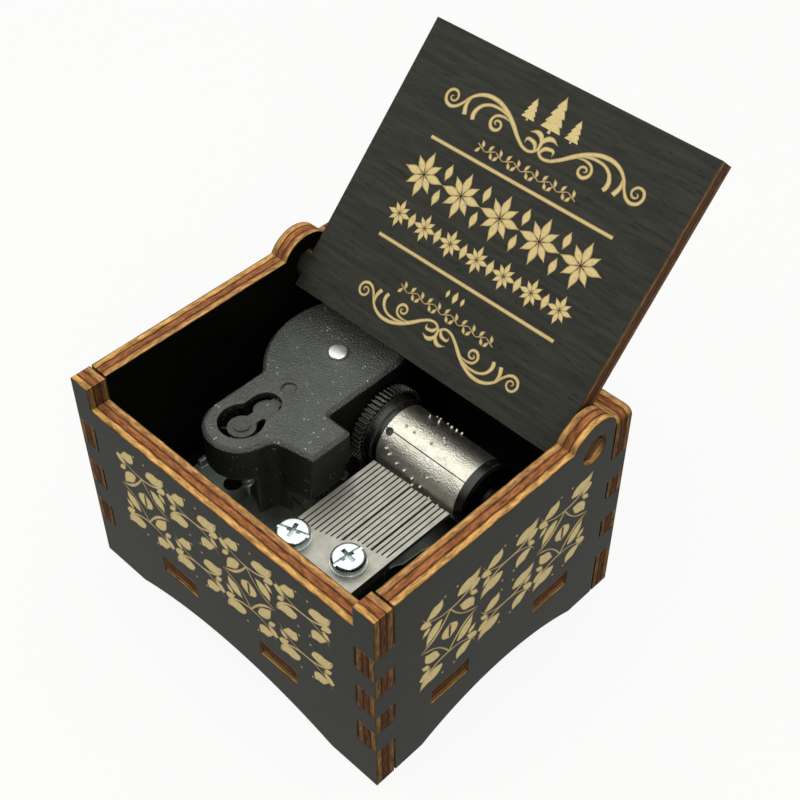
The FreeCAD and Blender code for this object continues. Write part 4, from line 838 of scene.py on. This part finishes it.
print(f"tube {length / MM:.2f} mm long, {len(tube.data.polygons)} faces")

# %% [markdown]
# Each pin is a bit of wire with a worn tip that plucks one tooth. The pins of the CAD model are found by
# their height above the tube: vertices that stand out of it are sorted into groups that lie close together,
# and each group is a pin.

# %% Pins of the CAD model
corners = {}
for vertex in nodes["music_cylinder"].data.vertices:
    out = math.hypot(vertex.co.y - axis.y, vertex.co.z - axis.z)
    if out > (TUBE_RADIUS + 0.3) * MM:
        place = tuple(round(value / MM, 3) for value in vertex.co)
        near = [key for key in corners if math.dist(key, place) < 0.5]
        corners.setdefault(near[0] if near else place, set()).add(place)
pins = []
for group in corners.values():
    x, y, z = (sum(values) / len(group) * MM for values in zip(*group))
    pins.append((x, math.atan2(z - axis.z, y - axis.y)))
print("pins from CAD:", len(pins))

# %% [markdown]
# The CAD model has only every seventh pin of the long run of notes on the far side. The others are put
# between those, on the same swinging line, which is the sum of a slow wave and a quick one. A tune could be
# typed in note by note, but nobody can read one off a photograph, and the line gives a tune's look.

# %% Pins of the long run
TEETH, PITCH, RUN, CAD_STEP = 18, 0.95 * MM, 70, 7
RUN_START, RUN_SWEEP = 186, 206
SLOW_WAVES, QUICK_WAVES, QUICK_SHARE = 3, 7, 0.6
comb_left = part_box("comb")[0].x
for n in range(RUN):
    if n % CAD_STEP:
        slow, quick = (math.sin(2 * math.pi * waves * n / RUN) for waves in (SLOW_WAVES, QUICK_WAVES))
        tooth = round((TEETH - 1) * (1 + (slow + QUICK_SHARE * quick) / (1 + QUICK_SHARE)) / 2)
        pins.append((comb_left + (tooth + 0.5) * PITCH, math.radians(RUN_START + RUN_SWEEP * n / RUN)))
pin = disc("pin", 0.25, TUBE_RADIUS - 0.2, TUBE_RADIUS + 0.50, rounding=0.19, sides=12, steps=3)
placed_pins = []
for x, turn in pins:
    placed_pins.append(copied(pin, shifted(x, axis.y, axis.z) @ Matrix.Rotation(turn - quarter, 4, "X")))
discard(pin)
cylinder = gathered([tube] + placed_pins, "pinned_cylinder")
finish_piece(cylinder, nickel, "music_cylinder", angle=30)

# %% [markdown]
# The bearing arm in the cover's opening has a boss with a moulded groove round it. The arm itself is right
# already, so its CAD mesh is kept, and a ring is cut out of it.

# %% Bearing arm
GROOVE_RADIUS, GROOVE_DEPTH = 1.05 * MM, 0.15 * MM
worm_axis = Vector(joints["governor_spin"]["pos_m"])
arm = merged_copy("top_bearing_arm", "grooved_arm")
boss_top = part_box("top_bearing_arm")[1].z
pick()
bpy.ops.mesh.primitive_torus_add(
    major_radius=GROOVE_RADIUS, minor_radius=GROOVE_DEPTH, major_segments=64, minor_segments=12,
    location=(worm_axis.x, worm_axis.y, boss_top))
cut_out(arm, added("groove"))
finish_piece(arm, cover_plastic, "top_bearing_arm")

# %% [markdown]
# The black bush at one end of the cylinder has two raised rings. Each ring is a torus whose inner half lies
# in the bush, which looks the same as a moulded bead and needs no cutting.

# %% Bearing bush
RING_RADIUS, RING_BEAD = 2.22 * MM, 0.24 * MM
RING_PLACES = 0.35 * MM, 1.15 * MM
bush = merged_copy("bearing_bush", "ringed_bush")
low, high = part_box("bearing_bush")
rings = [bush]
for along in RING_PLACES:
    pick()
    bpy.ops.mesh.primitive_torus_add(
        major_radius=RING_RADIUS, minor_radius=RING_BEAD, major_segments=48, minor_segments=10,
        location=(low.x + along, axis.y, axis.z), rotation=(0, quarter, 0))
    rings.append(added("ring"))
finish_piece(gathered(rings, "ringed_bush"), arm_plastic, "bearing_bush")

# %% [markdown]
# Three screws with slotted heads hold the movement from under the case. The CAD model has them as one
# piece, so their places are read from its lowest vertices, which belong to one head when they lie close
# together.

# %% Screws under the case
HEAD_RADIUS, HEAD_HEIGHT = 2.5, 1.3
ONE_HEAD = 6 * MM
low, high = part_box("movement_screws")
tips = {}
for vertex in nodes["movement_screws"].data.vertices:
    if vertex.co.z < low.z + 0.01 * MM:
        key = next((key for key in tips if math.dist(key, vertex.co.xy) < ONE_HEAD), tuple(vertex.co.xy))
        tips.setdefault(key, []).append(vertex.co.xy.copy())
screw = disc("head", HEAD_RADIUS, 0, HEAD_HEIGHT, rounding=0.35, steps=4)
cut_out(screw, wedge((6, 0.8, 0.6), (1, 1), HEAD_HEIGHT + 0.01))
shank = disc("shank", SCREW_SHANK, HEAD_HEIGHT - (high.z - low.z) / MM, 0.1, sides=32)
screw = gathered([screw, shank], "screw")
screws = []
for number, places in enumerate(tips.values()):
    x = (min(p.x for p in places) + max(p.x for p in places)) / 2
    y = (min(p.y for p in places) + max(p.y for p in places)) / 2
    turn = Matrix.Rotation(math.pi, 4, "X") @ Matrix.Rotation(0.9 * number + 0.3, 4, "Z")
    screws.append(copied(screw, shifted(x, y, low.z + HEAD_HEIGHT * MM) @ turn))
discard(screw)
finish_piece(gathered(screws, "slotted_screws"), bright_zinc, "movement_screws")

# %% [markdown]
# ## Engraving
#
# A laser has burned the black paint away and left bare, warm wood in flowing lines. Each line is a curve
# whose points carry a half width as their radius, given in millimetres, so that one stroke can swell and
# taper like a leaf. A stroke is bevelled, made a mesh and flattened. Its height before that says how far a
# point lies from the outline, and is kept as an attribute, because the beam scorches the outline darkest.
# The bare wood stands a hundredth of a millimetre proud of the paint: too little to see, and enough to keep
# the two surfaces from fighting for the same place.

# %% Strokes
STROKE_RISE = 0.012 * MM
FLATNESS = 0.02


def stroke(points, half_widths):
    """A flat tapering line through points in millimetres."""
    pick()
    bpy.ops.curve.primitive_bezier_curve_add()
    curve = bpy.context.object
    curve.data.resolution_u = 6
    curve.data.bevel_depth = MM
    curve.data.bevel_resolution = 0
    curve.data.use_fill_caps = True
    line = curve.data.splines[0]
    line.radius_interpolation = "CARDINAL"
    line.bezier_points.add(len(points) - len(line.bezier_points))
    for point, (x, y), half_width in zip(line.bezier_points, points, half_widths):
        point.handle_left_type = point.handle_right_type = "AUTO"
        point.co = Vector((x, y, 0)) * MM
        point.radius = half_width
    bpy.ops.object.convert(target="MESH")
    mesh = curve.data
    inward = mesh.attributes.new("from_outline", "FLOAT", "POINT")
    for vertex, value in zip(mesh.vertices, inward.data):
        value.value = abs(vertex.co.z) / MM
        vertex.co.z = vertex.co.z * FLATNESS + STROKE_RISE
    return curve


def placed(motif, x, y, scale_x=1.0, scale_y=None, turn=0.0):
    """A copy of a motif at (x, y), turned, and mirrored where a scale is negative."""
    scale_y = scale_x if scale_y is None else scale_y
    move = Matrix.Translation(Vector((x, y, 0)) * MM) @ Matrix.Rotation(turn, 4, "Z")
    return copied(motif, move @ Matrix.Diagonal((scale_x, scale_y, 1, 1)))


# %% [markdown]
# Bare birch is pale and warm, with fine fibres, and brown where the beam burned it. A ramp over the distance
# from the outline gives both, and the fibres shift that distance a little, so that the burn looks ragged.

# %% Bare wood
engraved_wood, tree, shader = new_material("engraved_wood", 0.75)
from_outline = tree.nodes.new("ShaderNodeAttribute")
from_outline.attribute_name = "from_outline"
place = place_in_mm(tree)
fibres = noise(tree, place, 2.6, (1, 1, 1), detail=4, roughness=0.65)
depth = arithmetic(tree, "ADD", from_outline.outputs["Fac"], span(tree, fibres, 0.3, 0.7, -0.04, 0.04))
bare = ramp(tree, depth, [
    (0.0, (0.16, 0.100, 0.040)), (0.12, (0.36, 0.265, 0.115)), (0.26, (0.51, 0.405, 0.190))])
bare = blended(tree, span(tree, fibres, 0.50, 0.70, 0.0, 0.70), bare, (0.30, 0.20, 0.080))
join(tree, bare, shader.inputs["Base Color"])
join(tree, span(tree, fibres, 0.3, 0.7, 0.65, 0.85), shader.inputs["Roughness"])
join(tree, bump(tree, fibres, 0.03, 0.6), shader.inputs["Normal"])
print("engraved wood:", len(tree.nodes), "nodes")

# %% [markdown]
# Fat curling leaves grow in pairs from bowed stems, in four rows. The two leaves of a pair differ: one is a
# comma that grows out of its stem, and one stands free behind a thin stem. A pair turned by half a circle
# makes the next row, so that no leaf is drawn twice. Rings of leaves, which stay open in the middle but for
# four dots, take turns with lozenges that hold a slit diamond, and winged knots stand where two cells meet.

# %% Motifs of the walls
CELL, RISE = 6.25, 5.4
leaf_pair = gathered([
    stroke([(-0.3, 0), (1.3, 0.1), (3.0, 0.6), (4.6, 1.7), (5.6, 3.0), (6.1, 4.4)],
           [0.20, 0.22, 0.24, 0.32, 0.28, 0.03]),
    stroke([(1.4, 1.75), (2.2, 2.1), (3.3, 2.5), (4.5, 2.9), (5.9, 4.2)], [0.35, 1.05, 1.28, 0.98, 0.06]),
    stroke([(0.2, 0), (-1.8, 0.15), (-3.4, 0.75), (-4.9, 1.7), (-5.8, 3.2)], [0.20, 0.16, 0.13, 0.12, 0.03]),
    stroke([(-5.1, 1.9), (-4.2, 2.2), (-3.2, 2.6), (-2.4, 3.2), (-1.8, 4.2)], [0.10, 0.72, 1.22, 1.00, 0.08]),
    stroke([(1.0, 4.2), (1.25, 4.25), (1.5, 4.3)], [0.04, 0.26, 0.04]),
    stroke([(-1.0, 4.2), (-1.25, 4.25), (-1.5, 4.3)], [0.04, 0.26, 0.04])])
lozenge_half = gathered([
    stroke([(0, 5.3), (-1.5, 3.1), (-3.3, 1.3), (-4.7, 0.55), (-6.0, 0.1)], [0.20, 0.26, 0.32, 0.22, 0.05]),
    stroke([(-1.75, 4.6), (-2.4, 4.2), (-3.25, 3.4), (-4.05, 2.4), (-5.0, 0.9)],
           [0.30, 0.80, 1.10, 0.85, 0.06]),
    stroke([(0, 5.3), (1.3, 3.2), (3.0, 1.4), (4.6, 0.55), (6.0, 0.1)], [0.18, 0.15, 0.13, 0.18, 0.05]),
    stroke([(1.9, 4.3), (2.7, 3.85), (3.6, 3.1), (4.4, 2.3), (5.0, 1.3)], [0.10, 0.78, 1.18, 0.92, 0.10])])
half_diamond = stroke([(0.0, 1.9), (1.0, 0), (0.0, -1.9)], [0.04, 0.86, 0.04])
wing = gathered([stroke([(0.25, 1.45), (1.2, 0.75), (2.3, -0.35)], [0.50, 0.80, 0.12]),
                 stroke([(1.9, -0.5), (1.2, -1.2), (0.45, -1.9)], [0.35, 0.58, 0.06])])
print("a pair of leaves has", len(leaf_pair.data.polygons), "faces")


# %% [markdown]
# A wall is a row of cells that are rings and lozenges in turn. The motifs are placed flat, joined, and
# carried onto the wall by one matrix whose columns are the wall's own directions. The cells of the long and
# the short walls differ a little in width, so each motif is stretched to fit.

# %% Engraving of the walls
ENGRAVING_HEIGHT = 25.65 * MM
WING_RISE = 5.7
LONG_PITCH, SHORT_PITCH = 12.5, 13.1


def engrave_wall(name, right, out, face, cells, pitch):
    """Engrave the wall that lies at a distance, face, along out. A cell is its place and if it is a ring."""
    pieces = []
    stretch = pitch / (2 * CELL)
    for x, is_ring in cells:
        for up, turn in ((1, 0), (-1, math.pi)):
            pieces.append(placed(leaf_pair, x, up * RISE, stretch, 1, turn))
            if is_ring:
                pieces.append(placed(leaf_pair, x, up * RISE, stretch, 1, turn + math.pi))
            else:
                pieces.append(placed(lozenge_half, x, 0, stretch, 1, turn))
                pieces.append(placed(half_diamond, x, 0, 1, 1, turn))
            for side in (stretch, -stretch):
                pieces.append(placed(wing, x + side * (CELL - 0.05), up * WING_RISE, -side, up))
    engraving = gathered(pieces, name)
    bpy.ops.object.shade_flat()
    right, out, up = Vector(right), Vector(out), Vector((0, 0, 1))
    origin = out * face + up * ENGRAVING_HEIGHT + to_case
    turn = Matrix((right, up, out)).transposed().to_4x4()
    engraving.data.transform(Matrix.Translation(origin) @ turn)
    engraving.data.materials.append(engraved_wood)
    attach(engraving, "case")
    print(name, len(engraving.data.polygons), "faces")


long_cells = [(-18.45, False), (-5.9, True), (6.6, False), (19.1, True)]
short_cells = [(-12.7, False), (0.4, True), (13.5, False)]
half_depth = case_middle - front_low.y
engrave_wall("front_engraving", (1, 0, 0), (0, -1, 0), half_depth, long_cells, LONG_PITCH)
engrave_wall("back_engraving", (-1, 0, 0), (0, 1, 0), half_depth, long_cells, LONG_PITCH)
engrave_wall("right_engraving", (0, 1, 0), (1, 0, 0), right_high.x, short_cells, SHORT_PITCH)
engrave_wall("left_engraving", (0, -1, 0), (-1, 0, 0), right_high.x, short_cells, SHORT_PITCH)
discard(leaf_pair, lozenge_half, half_diamond, wing)

# %% [markdown]
# Inside the lid, a scroll flourish hangs above and below a panel of rows. Half of it is drawn and mirrored,
# and the lower one is the same flourish, smaller and upside down. Three fir trees stand over the upper one.
# Between two straight rules run rows of stars and lozenges, and short garlands of leaves fill the rest.

# %% Motifs of the lid
scroll_half = gathered([
    stroke([(-19.0, 0.05), (-19.4, -0.3), (-19.0, -0.75), (-18.2, -0.4), (-18.25, 0.5), (-19.2, 1.0),
            (-20.2, 0.4), (-20.2, -0.9), (-19.2, -1.65), (-18.0, -1.5), (-16.9, -0.5), (-15.7, 1.2),
            (-13.9, 2.35), (-11.5, 2.65), (-8.9, 2.0), (-6.4, 0.5), (-4.1, -1.25), (-2.4, -2.1), (-0.9, -2.0),
            (0, -0.9), (-0.3, 0.5), (-1.4, 1.15), (-2.9, 0.7)],
           [0.10, 0.16, 0.20, 0.22, 0.25, 0.27, 0.30, 0.32, 0.34, 0.32, 0.28, 0.30,
            0.36, 0.40, 0.38, 0.42, 0.34, 0.30, 0.28, 0.28, 0.42, 0.42, 0.05]),
    stroke([(-6.6, 0.6), (-8.2, 1.3), (-10.2, 1.6), (-12.4, 1.2), (-13.6, 0.1), (-13.9, -1.3), (-13.6, -2.0)],
           [0.10, 0.25, 0.28, 0.30, 0.38, 0.46, 0.40]),
    stroke([(-15.6, 1.2), (-16.0, -0.3), (-15.5, -1.9)], [0.12, 0.38, 0.46]),
    stroke([(-6.6, 0.5), (-8.9, 0.7), (-10.1, 0.1), (-10.2, -1.2), (-8.9, -1.8), (-8.15, -0.9), (-8.9, -0.2),
            (-9.55, -0.65), (-9.1, -1.0)], [0.10, 0.26, 0.28, 0.33, 0.32, 0.26, 0.24, 0.20, 0.10]),
    stroke([(-0.5, -1.8), (-0.9, -0.8), (-1.8, -0.4), (-2.7, -0.5), (-2.8, -1.25)],
           [0.2, 0.38, 0.34, 0.28, 0.05])],
    "scroll")
fir_tree = gathered([
    stroke([(0, 6.4), (0, 4.3)], [0.03, 1.00]), stroke([(0, 5.2), (0, 2.9)], [0.25, 1.45]),
    stroke([(0, 3.8), (0, 1.6)], [0.45, 1.75]), stroke([(0, 2.5), (0, 0.5)], [0.70, 2.05]),
    stroke([(0, 0.7), (0, -0.1)], [0.30, 0.34])], "fir")
petal = stroke([(0, 0.25), (0, 1.9), (0, 3.9)], [0.06, 0.72, 0.05])
star = gathered([placed(petal, 0, 0, 1, turn=n * quarter) for n in range(4)]
                + [placed(petal, 0, 0, 0.86, turn=(n + 0.5) * quarter) for n in range(4)], "star")
lozenge = stroke([(0, 1.6), (0, 0), (0, -1.6)], [0.03, 0.72, 0.03])
sprig = gathered([stroke([(-0.9, -0.3), (0, 0.1), (0.9, 0.5)], [0.10, 0.13, 0.10]),
                  stroke([(-0.3, 0.0), (-0.1, 0.7), (0.3, 1.3)], [0.06, 0.34, 0.04]),
                  stroke([(0.1, 0.1), (0.5, -0.6), (0.9, -1.0)], [0.06, 0.34, 0.04])], "sprig")
print("half a scroll has", len(scroll_half.data.polygons), "faces")

# %% [markdown]
# The flat drawing is laid out about the middle of the lid's free edge. Loops place what repeats, and the
# row of stars with the wider step has the larger stars.

# %% Rows of the lid
RULES = -17.8, -36.1
STAR_ROW, STAR_STEP, LOZENGE_RISE = -23.9, 8.4, 2.3
SMALL_ROW, SMALL_STEP = -31.5, 5.8
GARLANDS, SPRIG_STEP, SPRIGS = (-15.5, -41.8), 1.9, 5
pieces = []
for across in (1, -1):
    pieces.append(placed(scroll_half, 0, -10.2, across, 1))
    pieces.append(placed(scroll_half, 0.2, -45.6, 0.86 * across, -0.86))
    pieces.append(placed(fir_tree, across * 4.5, -8.2, 0.68 * across, 0.62))
pieces.append(placed(fir_tree, 0.2, -8.4, 1))
for height in RULES:
    pieces.append(stroke([(-19.1, height), (19.2, height)], [0.33, 0.33]))
for n in range(-2, 3):
    pieces.append(placed(star, STAR_STEP * n, STAR_ROW, 1.06))
    if n < 2:
        for rise in (LOZENGE_RISE, -LOZENGE_RISE):
            pieces.append(placed(lozenge, STAR_STEP * (n + 0.5), STAR_ROW + rise))
for n in range(-3, 4):
    pieces.append(placed(star, SMALL_STEP * n, SMALL_ROW, 0.64))
    if n < 3:
        pieces.append(placed(lozenge, SMALL_STEP * (n + 0.5), SMALL_ROW, 0.95))
for height in GARLANDS:
    for n in range(-SPRIGS, SPRIGS + 1):
        pieces.append(placed(sprig, SPRIG_STEP * n, height, -1 if n % 2 else 1, 1))
for x, scale in ((-1.6, 0.5), (0, 0.75), (1.6, 0.5)):
    pieces.append(placed(lozenge, x, -38.6, scale))
lid_engraving = gathered(pieces, "lid_engraving")
bpy.ops.object.shade_flat()
discard(scroll_half, fir_tree, petal, star, lozenge, sprig)
print("lid engraving:", len(lid_engraving.data.polygons), "faces")

# %% [markdown]
# The flat drawing is turned face down onto the closed lid, and then swung open about the hinge with it.

# %% Engraving of the lid
LID_CENTRE = 0.4
lid_edge = hinge + Vector((LID_CENTRE, -47.1, -1.9))
face_down = Matrix(((1, 0, 0), (0, -1, 0), (0, 0, -1))).to_4x4()
swing = Matrix.Rotation(-lid_turn, 4, "X")
about_hinge = Matrix.Translation(hinge * MM) @ swing @ Matrix.Translation(-hinge * MM)
lid_engraving.data.transform(about_hinge @ Matrix.Translation(lid_edge * MM) @ face_down)
lid_engraving.data.materials.append(engraved_wood)
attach(lid_engraving, "lid")
print(f"lid engraving swung open by {math.degrees(lid_turn):.1f} degrees")
